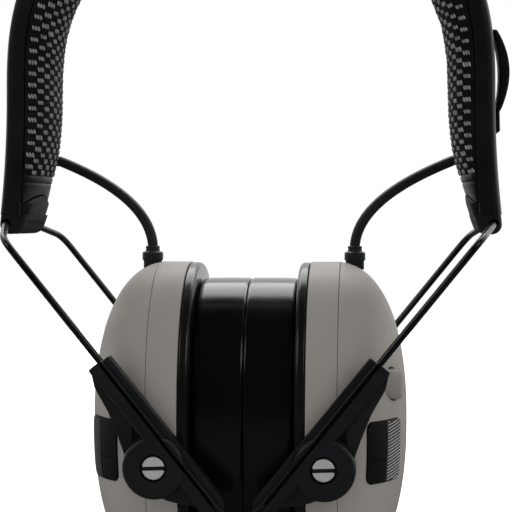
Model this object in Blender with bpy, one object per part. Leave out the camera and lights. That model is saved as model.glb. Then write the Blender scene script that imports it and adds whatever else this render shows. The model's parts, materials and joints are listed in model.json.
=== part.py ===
"""Electronic earmuff hearing protector, held at rest with its two ear cushions touching.

Sizes are in millimetres and become metres when a mesh is made. +Z is up, +X is to the right as
the earmuff is seen from the front, and -Y faces the viewer. The origin is the point of the
headband pad that rests on the crown of the head.
"""

import math

import bmesh
import bpy
from mathutils import Vector

MM = 0.001
GAP = 0.3               # between pieces that touch
LOOSE = 0.25            # round a wire, pin or screw that turns or slides

# Headband, as two curves seen from the front
BAND_HALF_WIDTH = 20.0
BAND_BEND_Z = -60.0     # the arch ends here and the straight sides begin
BAND_END_Z = -108.6
BAND_POWER = 2.7
BAND_OUTER_HALF = 85.2
BAND_INNER_HALF = 69.3
BAND_OUTER_TOP = 16.5
BAND_INNER_TOP = 0.0
BAND_OUTER_FLARE = 0.00135
BAND_INNER_FLARE = 0.00385
BAND_STATIONS = 32
COVER_SKIN = 1.6
COVER_WALL = 6.6        # height of the smooth edge at the crown
COVER_WALL_END = 7.6
COVER_END_Z = -101.5
PAD_END_Z = -94.2
STRIP_THICK = 1.2
STRIP_HALF_WIDTH = 11.0
BAND_LEAD_RADIUS = 1.5
PAD_FLOOR = COVER_SKIN + GAP + 2 * BAND_LEAD_RADIUS + GAP
LEAD_Y = 13.5
LEAD_EXIT_Z = -82.0

# End blocks, rivets and the strap loop
CAP_TOP_Z = COVER_END_Z - GAP
CAP_HALF_WIDTH = BAND_HALF_WIDTH - 0.4
CAP_INSET = 0.2
BLOCK_INSET = 1.6       # of the block's inner face from the band's inner curve
TONGUE_TOP_Z = -95.0
TONGUE_ARCH = 2.8
STRIP_END_Z = COVER_END_Z + 1.0
RIVET_RADIUS = 1.5
RIVET_HEAD_RADIUS = 2.6
RIVET_HEAD = 0.4
RIVET_ROOM = 0.5        # between the cover's skin and the rivet's head
RIVET_SEAT = 0.4        # between the rivet's head and the sloping strip
RIVET_Z = STRIP_END_Z + RIVET_HEAD_RADIUS
STRIP_DEPTH = COVER_SKIN + RIVET_ROOM + RIVET_HEAD + RIVET_SEAT
LOOP_TOP_Z = -37.5
LOOP_LOW_Z = -66.0
LOOP_TAB_Z = -73.0
LOOP_END_THICK = 1.5
LOOP_MID_THICK = 3.4
LOOP_SLIT = 1.6
LOOP_HALF_WIDTH = 7.0

# Cups
CUP_Z = -174.0
CUP_HALF_HEIGHT = 55.5
CUP_HALF_WIDTH = 43.0
CUP_POWER = 2.3
CUP_WALL = 2.4
CUP_SIDES = 32
CUSHION_FACE_X = 0.25
CUSHION_BACK_X = 15.9
CUSHION_HALF_HEIGHT = 50.0
CUSHION_HALF_WIDTH = 37.5
EAR_HALF_HEIGHT = 33.0
EAR_HALF_WIDTH = 21.0
PLATE_X = CUSHION_BACK_X + GAP
PLATE_THICK = 4.9
PLATE_MARGIN = 0.25     # of the shell outline round the seal plate
PLATE_ROUND = 2.0       # of the plate's edge next to the cushion
PLATE_COLLAR = 3.3
SHELL_X = PLATE_X + PLATE_THICK + GAP
SHELL_DEEP = 10.3
SHELL_FLANGE = 1.8
SHELL_ROUND = 0.5       # of the shell's edge next to the seal plate
SHELL_OPENING = 17.3    # inset of the flange opening from the shell outline
LIP_HIGH = 2.3
LIP_INSET = 3.9
LIP_THICK = 1.2
DOME_X = SHELL_X + SHELL_DEEP + GAP
DOME_CENTRE_X = DOME_X - 2.8    # middle of the rounded form that the dome is part of
DOME_DEEP = 26.0
BAFFLE_X = SHELL_X + SHELL_DEEP + LIP_HIGH + 0.2
BAFFLE_THICK = 1.6
BAFFLE_ROOM = 1.0       # between the baffle's edge and the inside of the dome
SPEAKER_RADIUS = 18.0
SPEAKER_DROP = 8.0
SPEAKER_DEEP = 6.9
SPEAKER_X = BAFFLE_X - GAP - SPEAKER_DEEP
LINER_X = PLATE_X + PLATE_THICK + PLATE_COLLAR + GAP
LINER_THICK = SPEAKER_X - GAP - LINER_X
LINER_INSET = 9.3
MAGNET_RADIUS = 11.0
MAGNET_DEEP = 4.6

# Pivot of each cup, and the arms that carry it
PIVOT_X = SHELL_X + 6.5
PIVOT_Z = CUP_Z - 11.0
PIVOT_BOSS_RADIUS = 3.55
PIVOT_BOSS_PROUD = 0.45
PIVOT_BOSS_IN = 7.0
SCREW_RADIUS = 1.8
SCREW_HEAD_RADIUS = 3.75
SCREW_HEAD = 1.6
SCREW_SLOT = 1.3
SCREW_REACH = 5.5
ARM_BACK_Y = CUP_HALF_WIDTH + PIVOT_BOSS_PROUD + GAP
ARM_STEP = 0.25         # between the back faces of boss, rail and web
BOSS_RADIUS = 10.5
BOSS_THICK = 7.15
RAIL_THICK = 6.3
WEB_THICK = 3.9
FLANGE_THICK = 5.0
RAIL_LOW = 3.1
RAIL_HIGH = 8.9
FLANGE_HIGH = 11.3
ARM_TOP_U = -38.4
ARM_TAIL_U = 27.5

# Wire bails
WIRE_RADIUS = 1.2
WIRE_OFFSET = 7.6       # from the pivot to the wire's own line
WIRE_Y = ARM_BACK_Y + 3.25
WIRE_SLIT = 1.2
WIRE_END_U = 24.6
HINGE_X = 84.5
HINGE_Z = -105.0
BEND_X = 78.7
BEND_Z = -110.0
BEND_RADIUS = 6.0
BEAD_WALL = 0.35
BEAD_RADIUS = WIRE_RADIUS + LOOSE + BEAD_WALL
BEAD_TOP_U = 21.2
BEAD_LONG = 4.0

# Fittings on the cups
PANEL_TOP_Z = CUP_Z + 3.2
PANEL_LOW_Z = CUP_Z - 17.4
PANEL_FROM = 26.0       # degrees round the dome from its front
PANEL_SPLIT = 45.0
PANEL_TO = 61.0
PANEL_WIDE = 19.2       # along the front of the dome, near enough
PANEL_PROUD = 0.6
PANEL_SUNK = 1.1
PANEL_CORNER = 2.6
GLAND_Y = 6.0
GLAND_TOP_Z = CUP_Z + CUP_HALF_HEIGHT + 5.5
GLAND_LOW_Z = CUP_Z + CUP_HALF_HEIGHT - 2.9
GLAND_RADIUS = 3.3
COLLAR_RADIUS = 3.75    # of the part of the gland that stands on the shell
NECK_RADIUS = 2.6
GLAND_X = DOME_X + GLAND_RADIUS + 1.3
LEAD_RADIUS = 1.85
LEAD_SIDES = 7
KNOB_Y = -26.5
KNOB_Z = CUP_Z + 15.0
KNOB_RADIUS = 5.8
KNOB_LONG = 7.6
KNOB_FROM_X = DOME_CENTRE_X + 16.8
KNOB_TO_X = KNOB_FROM_X + KNOB_LONG
KNOB_RIBS = 14
POT_RADIUS = 4.5
SHAFT_RADIUS = 2.2
BOARD_X = BAFFLE_X - GAP + MAGNET_DEEP + 0.4
BOARD_THICK = 1.6
BOARD_DROP = 26.0       # of its lower edge below the middle of the cup
JACK_RADIUS = 4.0
JACK_X = BAFFLE_X + BAFFLE_THICK + JACK_RADIUS + 2 * GAP
DOOR_LOW_Z = CUP_Z + 1.0
DOOR_TOP_Z = CUP_Z + 36.0
DOOR_HALF_WIDTH = 22.0
DOOR_THICK = 1.8
DOOR_CORNER = 4.0
CELL_RADIUS = 5.1
CELL_LONG = 44.5
CELL_PITCH = 11.4
TRAY_X = BAFFLE_X + BAFFLE_THICK + 0.4
TRAY_THICK = 0.9

LOOKS = {
    "black_plastic": ((0.018, 0.018, 0.019), 0.46, 0.0),
    "gloss_black": ((0.012, 0.012, 0.013), 0.22, 0.0),
    "grey_shell": ((0.222, 0.206, 0.190), 0.50, 0.0),
    "black_vinyl": ((0.020, 0.020, 0.021), 0.42, 0.0),
    "air_mesh": ((0.110, 0.110, 0.112), 0.85, 0.0),
    "spring_steel": ((0.420, 0.420, 0.430), 0.30, 1.0),
    "bright_steel": ((0.600, 0.600, 0.610), 0.26, 1.0),
    "black_rubber": ((0.024, 0.024, 0.025), 0.62, 0.0),
    "foam": ((0.045, 0.045, 0.048), 0.95, 0.0),
    "board_green": ((0.020, 0.120, 0.055), 0.50, 0.0),
    "cell_jacket": ((0.350, 0.340, 0.320), 0.35, 0.2),
}


def clear_scene():
    for obj in list(bpy.data.objects):
        bpy.data.objects.remove(obj, do_unlink=True)


def material_for(name, look):
    colour, rough, metal = LOOKS[look]
    made = bpy.data.materials.new(name)
    made.use_nodes = True
    shader = made.node_tree.nodes["Principled BSDF"]
    shader.inputs["Base Color"].default_value = (*colour, 1.0)
    shader.inputs["Roughness"].default_value = rough
    shader.inputs["Metallic"].default_value = metal
    return made


# An object from points in millimetres, with its own origin on the axis that it moves about
def make(name, shape, look, pivot=(0.0, 0.0, 0.0)):
    points, faces = shape
    work = bmesh.new()
    verts = [work.verts.new([(c - o) * MM for c, o in zip(p, pivot)]) for p in points]
    for face in faces:
        work.faces.new([verts[i] for i in face])
    bmesh.ops.recalc_face_normals(work, faces=work.faces[:])
    mesh = bpy.data.meshes.new(name)
    work.to_mesh(mesh)
    work.free()
    mesh.shade_smooth()
    mesh.set_sharp_from_angle(angle=math.radians(38))
    obj = bpy.data.objects.new(name, mesh)
    obj.location = [c * MM for c in pivot]
    bpy.context.scene.collection.objects.link(obj)
    if look:
        mesh.materials.append(material_for(name, look))
    return obj


# Joins or cuts with a hidden helper that stays in the file
def combine(obj, shape, operation):
    helper = make(f"{obj.name}_{operation.lower()}_{len(obj.modifiers)}", shape, None)
    helper.hide_render = True
    helper.display_type = "WIRE"
    change = obj.modifiers.new(helper.name, "BOOLEAN")
    change.operation = operation
    change.solver = "EXACT"
    change.object = helper


def cut(obj, shape):
    combine(obj, shape, "DIFFERENCE")


def join(obj, shape):
    combine(obj, shape, "UNION")


# A skin over rings of points, with flat ends unless it closes on itself
def loft(rings, closed=False):
    count = len(rings[0])
    points = [p for ring in rings for p in ring]
    faces = []
    for i in range(len(rings) if closed else len(rings) - 1):
        a = i * count
        b = (i + 1) % len(rings) * count
        for k in range(count):
            m = (k + 1) % count
            faces.append((a + k, a + m, b + m, b + k))
    if not closed:
        faces.append(tuple(range(count)))
        faces.append(tuple(range((len(rings) - 1) * count, len(rings) * count)))
    return points, faces


def mirrored(shape, side):
    points, faces = shape
    return [(side * p[0], p[1], p[2]) for p in points], faces


def across(axis):
    helper = Vector((0, 0, 1)) if abs(axis.z) < 0.9 else Vector((1, 0, 0))
    first = axis.cross(helper).normalized()
    return first, axis.cross(first).normalized()


# A turned shape: the profile lists how far along the axis and at what radius
def turned(start, axis, profile, sides):
    axis = Vector(axis).normalized()
    first, second = across(axis)
    rings = []
    for along, radius in profile:
        ring = []
        for k in range(sides):
            turn = 2 * math.pi * (k + 0.5) / sides
            out = first * math.cos(turn) + second * math.sin(turn)
            ring.append(tuple(Vector(start) + axis * along + out * radius))
        rings.append(ring)
    return loft(rings)


def rod(start, axis, low, high, radius, sides=16):
    return turned(start, axis, [(low, radius), (high, radius)], sides)


# A round wire or tube along a path
def tube(path, radius, sides):
    path = [Vector(p) for p in path]
    along = [(path[min(i + 1, len(path) - 1)] - path[max(i - 1, 0)]).normalized() for i in range(len(path))]
    first, second = across(along[0])
    rings = []
    for i, point in enumerate(path):
        first = (first - along[i] * first.dot(along[i])).normalized()
        second = along[i].cross(first)
        ring = []
        for k in range(sides):
            turn = 2 * math.pi * k / sides
            ring.append(tuple(point + (first * math.cos(turn) + second * math.sin(turn)) * radius))
        rings.append(ring)
    return loft(rings)


# A path whose corners are rounded with a few points each
def rounded(path, radius, steps):
    path = [Vector(p) for p in path]
    made = [path[0]]
    for before, corner, after in zip(path, path[1:], path[2:]):
        start = corner + (before - corner).normalized() * radius
        end = corner + (after - corner).normalized() * radius
        for i in range(steps + 1):
            t = i / steps
            made.append(start * (1 - t) ** 2 + corner * 2 * t * (1 - t) + end * t * t)
    made.append(path[-1])
    return made


# A prism through the thickness in Y, from an outline in X and Z
def prism(outline, low, high):
    return loft([[(x, y, z) for x, z in outline] for y in (low, high)])


def box(low, high):
    outline = [(low[0], low[2]), (high[0], low[2]), (high[0], high[2]), (low[0], high[2])]
    return prism(outline, low[1], high[1])


def band_outer_x(z):
    return BAND_OUTER_HALF + BAND_OUTER_FLARE * (z - BAND_BEND_Z) ** 2


def band_inner_x(z):
    return BAND_INNER_HALF + BAND_INNER_FLARE * (z - BAND_BEND_Z) ** 2


# Matching points on the outer and inner curve, from the crown down the right side
def band_pairs():
    count = 120
    pairs = []
    for i in range(count + 1):
        turn = math.pi / 2 * (1 - i / count)
        x = max(math.cos(turn), 0.0) ** (2 / BAND_POWER)
        z = max(math.sin(turn), 0.0) ** (2 / BAND_POWER)
        outer = (BAND_OUTER_HALF * x, BAND_BEND_Z + (BAND_OUTER_TOP - BAND_BEND_Z) * z)
        inner = (BAND_INNER_HALF * x, BAND_BEND_Z + (BAND_INNER_TOP - BAND_BEND_Z) * z)
        pairs.append((Vector(outer), Vector(inner)))
    for i in range(1, count + 1):
        z = BAND_BEND_Z + (BAND_END_Z - BAND_BEND_Z) * i / count
        pairs.append((Vector((band_outer_x(z), z)), Vector((band_inner_x(z), z))))
    return pairs


PAIRS = band_pairs()
LENGTHS = [0.0]
for one, two in zip(PAIRS, PAIRS[1:]):
    LENGTHS.append(LENGTHS[-1] + ((two[0] + two[1]) / 2 - (one[0] + one[1]) / 2).length)


# Outer point, direction inwards and thickness at a length from the crown, negative to the left
def band_at(length):
    reach = min(abs(length), LENGTHS[-1])
    i = 0
    while i < len(LENGTHS) - 2 and LENGTHS[i + 1] < reach:
        i += 1
    t = (reach - LENGTHS[i]) / (LENGTHS[i + 1] - LENGTHS[i])
    outer = PAIRS[i][0].lerp(PAIRS[i + 1][0], t)
    inner = PAIRS[i][1].lerp(PAIRS[i + 1][1], t)
    side = -1.0 if length < 0 else 1.0
    inward = inner - outer
    thick = inward.length
    inward = inward / thick
    return Vector((side * outer.x, outer.y)), Vector((side * inward.x, inward.y)), thick


def band_length(z):
    for i, pair in enumerate(PAIRS):
        if pair[0].y <= BAND_BEND_Z and pair[0].y <= z:
            return LENGTHS[i]
    return LENGTHS[-1]


def band_point(length, y, depth):
    outer, inward, _ = band_at(length)
    spot = outer + inward * depth
    return spot.x, y, spot.y


def wall_height(length):
    share = min(1.0, abs(length) / band_length(COVER_END_Z))
    return COVER_WALL + (COVER_WALL_END - COVER_WALL) * share ** 6


def stations(end, count):
    return [end * (2 * i / count - 1) for i in range(count + 1)]


def both_sides(half):
    return half + [(-y, w) for y, w in reversed(half)]


def band_cover():
    edge = BAND_HALF_WIDTH
    inside = edge - COVER_SKIN
    rings = []
    for length in stations(band_length(COVER_END_Z), BAND_STATIONS):
        wall = wall_height(length)
        half = [
            (8.0, 0.0), (edge - 2.6, 0.6), (edge - 0.7, 1.9), (edge, 3.8), (edge, wall - 0.8),
            (edge - 0.4, wall), (inside + 0.4, wall), (inside, wall - 0.5),
            (inside, COVER_SKIN + 0.9), (inside - 0.9, COVER_SKIN),
        ]
        rings.append([band_point(length, y, w) for y, w in both_sides(half)])
    make("headband_cover", loft(rings), "black_vinyl")


def band_pad():
    end = band_length(PAD_END_Z)
    inside = BAND_HALF_WIDTH - COVER_SKIN - GAP
    edge = BAND_HALF_WIDTH - 0.7
    rings = []
    for length in stations(end, BAND_STATIONS):
        wall = wall_height(length)
        share = abs(length) / end
        top = band_at(length)[2] - 1.4 * max(0.0, share - 0.9) * 10
        rise = top - wall
        half = [
            (4.0, top), (9.0, wall + 0.93 * rise), (13.5, wall + 0.74 * rise),
            (17.0, wall + 0.45 * rise), (edge, wall + 0.16 * rise), (edge, wall + GAP),
            (inside, wall + GAP), (inside, PAD_FLOOR),
        ]
        rings.append([band_point(length, y, w) for y, w in both_sides(half)])
    pad = make("headband_pad", loft(rings), "air_mesh")
    for side in (-1, 1):
        start = (side * band_outer_x(LEAD_EXIT_Z), LEAD_Y, LEAD_EXIT_Z)
        cut(pad, rod(start, (-side, 0, 0), PAD_FLOOR - 2, 24.0, LEAD_RADIUS + LOOSE, 12))


def band_strip():
    low = STRIP_DEPTH
    high = low + STRIP_THICK
    half = STRIP_HALF_WIDTH
    rings = []
    for length in stations(band_length(STRIP_END_Z), BAND_STATIONS):
        section = [(half, low), (half, high), (-half, high), (-half, low)]
        rings.append([band_point(length, y, w) for y, w in section])
    strip = make("spring_strip", loft(rings), "spring_steel")
    for side in (-1, 1):
        start = (side * band_outer_x(RIVET_Z), 0, RIVET_Z)
        cut(strip, rod(start, (-side, 0, 0), 0.0, PAD_FLOOR, RIVET_RADIUS + LOOSE))


def band_lead():
    depth = COVER_SKIN + GAP + BAND_LEAD_RADIUS
    path = [band_point(s, LEAD_Y, depth) for s in stations(band_length(LEAD_EXIT_Z), 26)]
    make("band_lead", tube(path, BAND_LEAD_RADIUS, 6), "black_rubber")


# A block between two depths of the band's end, from an outline in Y and Z
def end_block_shape(outline, depth, from_inner):
    outer = [(band_outer_x(z) - depth, y, z) for y, z in outline]
    inner = [(band_inner_x(z) + from_inner, y, z) for y, z in outline]
    return loft([outer, inner])


def end_block(name, side):
    wide = CAP_HALF_WIDTH
    cap = [
        (-wide, CAP_TOP_Z), (wide, CAP_TOP_Z), (wide, BAND_END_Z + 2.0), (wide - 0.6, BAND_END_Z + 0.6),
        (wide - 2.0, BAND_END_Z), (2.0 - wide, BAND_END_Z), (0.6 - wide, BAND_END_Z + 0.6),
        (-wide, BAND_END_Z + 2.0),
    ]
    inside = BAND_HALF_WIDTH - COVER_SKIN - GAP - 0.6
    arch = [(-inside, CAP_TOP_Z - 2.0), (inside, CAP_TOP_Z - 2.0)]
    for i in range(9):
        y = inside * (1 - i / 4)
        arch.append((y, TONGUE_TOP_Z - TONGUE_ARCH * (y / inside) ** 2))
    block = make(name, mirrored(end_block_shape(cap, CAP_INSET, BLOCK_INSET), side), "black_plastic")
    join(block, mirrored(end_block_shape(arch, COVER_SKIN + GAP, BLOCK_INSET + 2 * GAP), side))
    outer = band_outer_x(RIVET_Z)
    floor = band_outer_x(TONGUE_TOP_Z) - STRIP_DEPTH - STRIP_THICK - GAP
    slot = box(
        (floor, -STRIP_HALF_WIDTH - GAP, STRIP_END_Z - GAP),
        (outer + 2.0, STRIP_HALF_WIDTH + GAP, TONGUE_TOP_Z + 2.0),
    )
    cut(block, mirrored(slot, side))
    start = (side * outer, 0, RIVET_Z)
    cut(block, rod(start, (-side, 0, 0), 0.0, 20.0, RIVET_RADIUS + LOOSE))
    sunk = outer - band_inner_x(RIVET_Z) - BLOCK_INSET - 2 * GAP - RIVET_HEAD - GAP
    cut(block, rod(start, (-side, 0, 0), sunk, 20.0, RIVET_HEAD_RADIUS + GAP))
    hinge = (side * HINGE_X, 0, HINGE_Z)
    reach = CAP_HALF_WIDTH + 2.0
    cut(block, rod(hinge, (0, 1, 0), -reach, reach, WIRE_RADIUS + LOOSE, 12))
    for face in (-1, 1):
        cut(block, rod(hinge, (0, face, 0), CAP_HALF_WIDTH - 4.0, reach, WIRE_RADIUS + 1.3, 14))


def block_rivet(name, side):
    outer = band_outer_x(RIVET_Z)
    head = STRIP_DEPTH - RIVET_SEAT
    tail = outer - band_inner_x(RIVET_Z) - BLOCK_INSET - 2 * GAP - RIVET_HEAD
    profile = [
        (head - RIVET_HEAD, RIVET_HEAD_RADIUS - 0.4), (head - RIVET_HEAD + 0.2, RIVET_HEAD_RADIUS),
        (head, RIVET_HEAD_RADIUS), (head, RIVET_RADIUS), (tail, RIVET_RADIUS),
        (tail, RIVET_HEAD_RADIUS), (tail + RIVET_HEAD - 0.2, RIVET_HEAD_RADIUS),
        (tail + RIVET_HEAD, RIVET_HEAD_RADIUS - 0.5),
    ]
    start = (side * outer, 0, RIVET_Z)
    make(name, turned(start, (-side, 0, 0), profile, 10), "bright_steel")


# The outer curve's X at any height, above the bend as well
def band_side_x(z):
    if z <= BAND_BEND_Z:
        return band_outer_x(z)
    share = (z - BAND_BEND_Z) / (BAND_OUTER_TOP - BAND_BEND_Z)
    return BAND_OUTER_HALF * (1 - share ** BAND_POWER) ** (1 / BAND_POWER)


def strap_loop():
    steps = 14
    outer = []
    inner = []
    for i in range(steps + 1):
        t = i / steps
        z = LOOP_TOP_Z + (LOOP_LOW_Z - LOOP_TOP_Z) * t
        bow = math.sin(math.pi * t) ** 0.8
        low = band_side_x(z) + GAP + LOOP_SLIT * bow
        inner.append((low, z))
        outer.append((low + LOOP_END_THICK + (LOOP_MID_THICK - LOOP_END_THICK) * bow, z))
    tab = band_side_x(LOOP_TAB_Z) + GAP
    outer.append((tab + LOOP_END_THICK, LOOP_TAB_Z + 0.6))
    outer.append((tab + LOOP_END_THICK - 0.6, LOOP_TAB_Z))
    outer.append((tab, LOOP_TAB_Z))
    outline = outer + inner[::-1]
    make("strap_loop", prism(outline, -LOOP_HALF_WIDTH, LOOP_HALF_WIDTH), "black_vinyl")


def power_of(value):
    return math.copysign(abs(value) ** (2 / CUP_POWER), value)


# A ring of the cup's rounded outline at one X
def cup_ring(x, half_height, half_width, count=CUP_SIDES):
    ring = []
    for k in range(count):
        turn = 2 * math.pi * k / count
        y = half_width * power_of(math.cos(turn))
        ring.append((x, y, CUP_Z + half_height * power_of(math.sin(turn))))
    return ring


def inset_ring(x, inset):
    return cup_ring(x, CUP_HALF_HEIGHT - inset, CUP_HALF_WIDTH - inset)


# A ring part of the way from an outer outline to a hole
def between_ring(x, share, outer, hole):
    return cup_ring(x, outer[0] + (hole[0] - outer[0]) * share, outer[1] + (hole[1] - outer[1]) * share)


def ear_cushion(name, side, pivot):
    deep = CUSHION_BACK_X - CUSHION_FACE_X
    section = [
        (1.0, 0.05), (0.9, 0.012), (0.6, 0.0), (0.3, 0.0), (0.1, 0.006), (0.03, 0.024),
        (0.004, 0.08), (0.0, 0.45), (0.01, 0.72), (0.05, 0.9), (0.16, 0.97), (0.4, 1.0),
        (0.78, 0.99), (1.0, 0.93),
    ]
    outer = (CUSHION_HALF_HEIGHT, CUSHION_HALF_WIDTH)
    hole = (EAR_HALF_HEIGHT, EAR_HALF_WIDTH)
    rings = [between_ring(CUSHION_FACE_X + deep * d, t, outer, hole) for d, t in section]
    make(name, mirrored(loft(rings, closed=True), side), "black_vinyl", pivot)


def cushion_plate(name, side, pivot):
    outer = (CUP_HALF_HEIGHT - PLATE_MARGIN, CUP_HALF_WIDTH - PLATE_MARGIN)
    hole = (EAR_HALF_HEIGHT + 0.6, EAR_HALF_WIDTH + 0.6)
    span = min(outer[0] - hole[0], outer[1] - hole[1])
    collar = (SHELL_OPENING + GAP - PLATE_MARGIN) / span
    edge = PLATE_ROUND / span
    back = PLATE_X + PLATE_THICK
    section = [
        (PLATE_X, edge), (PLATE_X + 0.3 * PLATE_ROUND, 0.3 * edge), (PLATE_X + PLATE_ROUND, 0.0),
        (back, 0.0), (back, collar), (back + PLATE_COLLAR, collar), (back + PLATE_COLLAR, collar + 0.07),
        (back, collar + 0.07), (back, 1.0), (PLATE_X, 1.0),
    ]
    rings = [between_ring(x, t, outer, hole) for x, t in section]
    make(name, mirrored(loft(rings, closed=True), side), "gloss_black", pivot)


def base_shell(name, side, pivot):
    top = SHELL_X + SHELL_DEEP
    floor = SHELL_X + SHELL_FLANGE
    section = [
        (SHELL_X, SHELL_ROUND), (SHELL_X + 0.3 * SHELL_ROUND, 0.3 * SHELL_ROUND),
        (SHELL_X + SHELL_ROUND, 0.0), (top, 0.0), (top, LIP_INSET), (top + LIP_HIGH, LIP_INSET),
        (top + LIP_HIGH, LIP_INSET + LIP_THICK), (top - 4.0, LIP_INSET + LIP_THICK),
        (floor, LIP_INSET + LIP_THICK), (floor, SHELL_OPENING), (SHELL_X, SHELL_OPENING),
    ]
    rings = [inset_ring(x, inset) for x, inset in section]
    shell = make(name, mirrored(loft(rings, closed=True), side), "grey_shell", pivot)
    for face in (-1, 1):
        wall = (side * PIVOT_X, face * CUP_HALF_WIDTH, PIVOT_Z)
        join(shell, rod(wall, (0, face, 0), -PIVOT_BOSS_IN, PIVOT_BOSS_PROUD, PIVOT_BOSS_RADIUS, 14))
        cut(shell, rod(wall, (0, face, 0), -PIVOT_BOSS_IN - 2, 2, SCREW_RADIUS + LOOSE, 10))


# How much smaller the dome is at some X than at its middle
def dome_scale(x, wall):
    return (1 - ((x - DOME_CENTRE_X) / (DOME_DEEP - wall)) ** CUP_POWER) ** (1 / CUP_POWER)


# Rings of the rounded dome, from the rim to the outermost point
def dome_rings(wall, count):
    deep = DOME_DEEP - wall
    first = math.asin(((DOME_X - DOME_CENTRE_X) / deep) ** (CUP_POWER / 2))
    last = math.radians(87)
    rings = []
    for i in range(count + 1):
        turn = first + (last - first) * i / count
        x = DOME_CENTRE_X + deep * power_of(math.sin(turn))
        scale = power_of(math.cos(turn))
        rings.append(cup_ring(x, (CUP_HALF_HEIGHT - wall) * scale, (CUP_HALF_WIDTH - wall) * scale))
    return rings


# How far out the dome's surface is at a place, moved outwards by an offset
def dome_x(y, z, offset):
    left = 1 - abs(y / (CUP_HALF_WIDTH + offset)) ** CUP_POWER
    left -= abs((z - CUP_Z) / (CUP_HALF_HEIGHT + offset)) ** CUP_POWER
    return DOME_CENTRE_X + (DOME_DEEP + offset) * max(left, 0.0) ** (1 / CUP_POWER)


# The dome's surface near the front, by the angle round it from the front
def dome_front(angle, z, offset):
    left = 1 - abs((z - CUP_Z) / (CUP_HALF_HEIGHT + offset)) ** CUP_POWER
    scale = left ** (1 / CUP_POWER)
    turn = math.radians(angle)
    x = DOME_CENTRE_X + (DOME_DEEP + offset) * scale * power_of(math.sin(turn))
    return x, -(CUP_HALF_WIDTH + offset) * scale * power_of(math.cos(turn)), z


# A piece of skin between two offsets of the dome, as columns that each run from low to high Z
def skin(columns, inner, outer, surface, steps):
    rings = []
    for place, low, high in columns:
        heights = [low + (high - low) * i / steps for i in range(steps + 1)]
        ring = [surface(place, z, outer) for z in heights]
        ring += [surface(place, z, inner) for z in reversed(heights)]
        rings.append(ring)
    return loft(rings)


# Columns with rounded corners at one or both ends
def rounded_columns(start, end, low, high, corner, unit, ends, steps):
    columns = []
    places = [start, start + 0.3 * corner * unit, start + corner * unit]
    drops = [corner, 0.3 * corner, 0.0] if ends[0] else [0.0, 0.0, 0.0]
    inner_start = places[-1]
    inner_end = end - corner * unit
    for i in range(1, steps):
        places.append(inner_start + (inner_end - inner_start) * i / steps)
        drops.append(0.0)
    places += [inner_end, end - 0.3 * corner * unit, end]
    drops += [0.0, 0.3 * corner, corner] if ends[1] else [0.0, 0.0, 0.0]
    for place, drop in zip(places, drops):
        columns.append((place, low + drop, high - drop))
    return columns


DEGREES_PER_MM = (PANEL_TO - PANEL_FROM) / PANEL_WIDE


def panel_columns(start, end, margin, ends):
    unit = DEGREES_PER_MM
    return rounded_columns(
        start - margin * unit, end + margin * unit, PANEL_LOW_Z - margin, PANEL_TOP_Z + margin,
        PANEL_CORNER, unit, ends, 3,
    )


def door_columns(margin):
    wide = DOOR_HALF_WIDTH + margin
    return rounded_columns(
        -wide, wide, DOOR_LOW_Z - margin, DOOR_TOP_Z + margin, DOOR_CORNER, 1.0, (True, True), 5,
    )


def door_surface(y, z, offset):
    return dome_x(y, z, offset), y, z


def outer_shell(name, side, pivot):
    shape = loft(dome_rings(0.0, 9)[::-1] + dome_rings(CUP_WALL, 5))
    shell = make(name, mirrored(shape, side), "grey_shell", pivot)
    pocket = panel_columns(PANEL_FROM, PANEL_TO, GAP, (True, True))
    cut(shell, mirrored(skin(pocket, -PANEL_SUNK - GAP, 4.0, dome_front, 4), side))
    gland = (side * GLAND_X, GLAND_Y, GLAND_TOP_Z)
    deep = GLAND_TOP_Z - GLAND_LOW_Z
    cut(shell, rod(gland, (0, 0, -1), -2.0, deep + 2.0, GLAND_RADIUS + GAP, 14))
    if side > 0:
        knob = (KNOB_FROM_X, KNOB_Y, KNOB_Z)
        cut(shell, rod(knob, (1, 0, 0), -6.0, 12.0, KNOB_RADIUS + 2 * GAP, 20))
        jack = (JACK_X, 0, CUP_Z - CUP_HALF_HEIGHT)
        cut(shell, rod(jack, (0, 0, 1), -4.0, 14.0, JACK_RADIUS + GAP, 14))
    else:
        cut(shell, mirrored(skin(door_columns(GAP), -CUP_WALL - 3.0, 4.0, door_surface, 4), side))


def mic_panel(prefix, side, pivot):
    joint = GAP / 2 * DEGREES_PER_MM
    plain = panel_columns(PANEL_FROM, PANEL_SPLIT - joint, 0.0, (True, False))
    shape = skin(plain, -PANEL_SUNK, PANEL_PROUD, dome_front, 4)
    make(f"{prefix}_mic_panel", mirrored(shape, side), "black_plastic", pivot)
    open_part = panel_columns(PANEL_SPLIT + joint, PANEL_TO, 0.0, (False, True))
    shape = skin(open_part, -PANEL_SUNK, PANEL_PROUD, dome_front, 4)
    make(f"{prefix}_mic_screen", mirrored(shape, side), "spring_steel", pivot)


def foam_liner(name, side, pivot):
    rings = [inset_ring(x, LINER_INSET) for x in (LINER_X, LINER_X + LINER_THICK)]
    make(name, mirrored(loft(rings), side), "foam", pivot)


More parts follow.
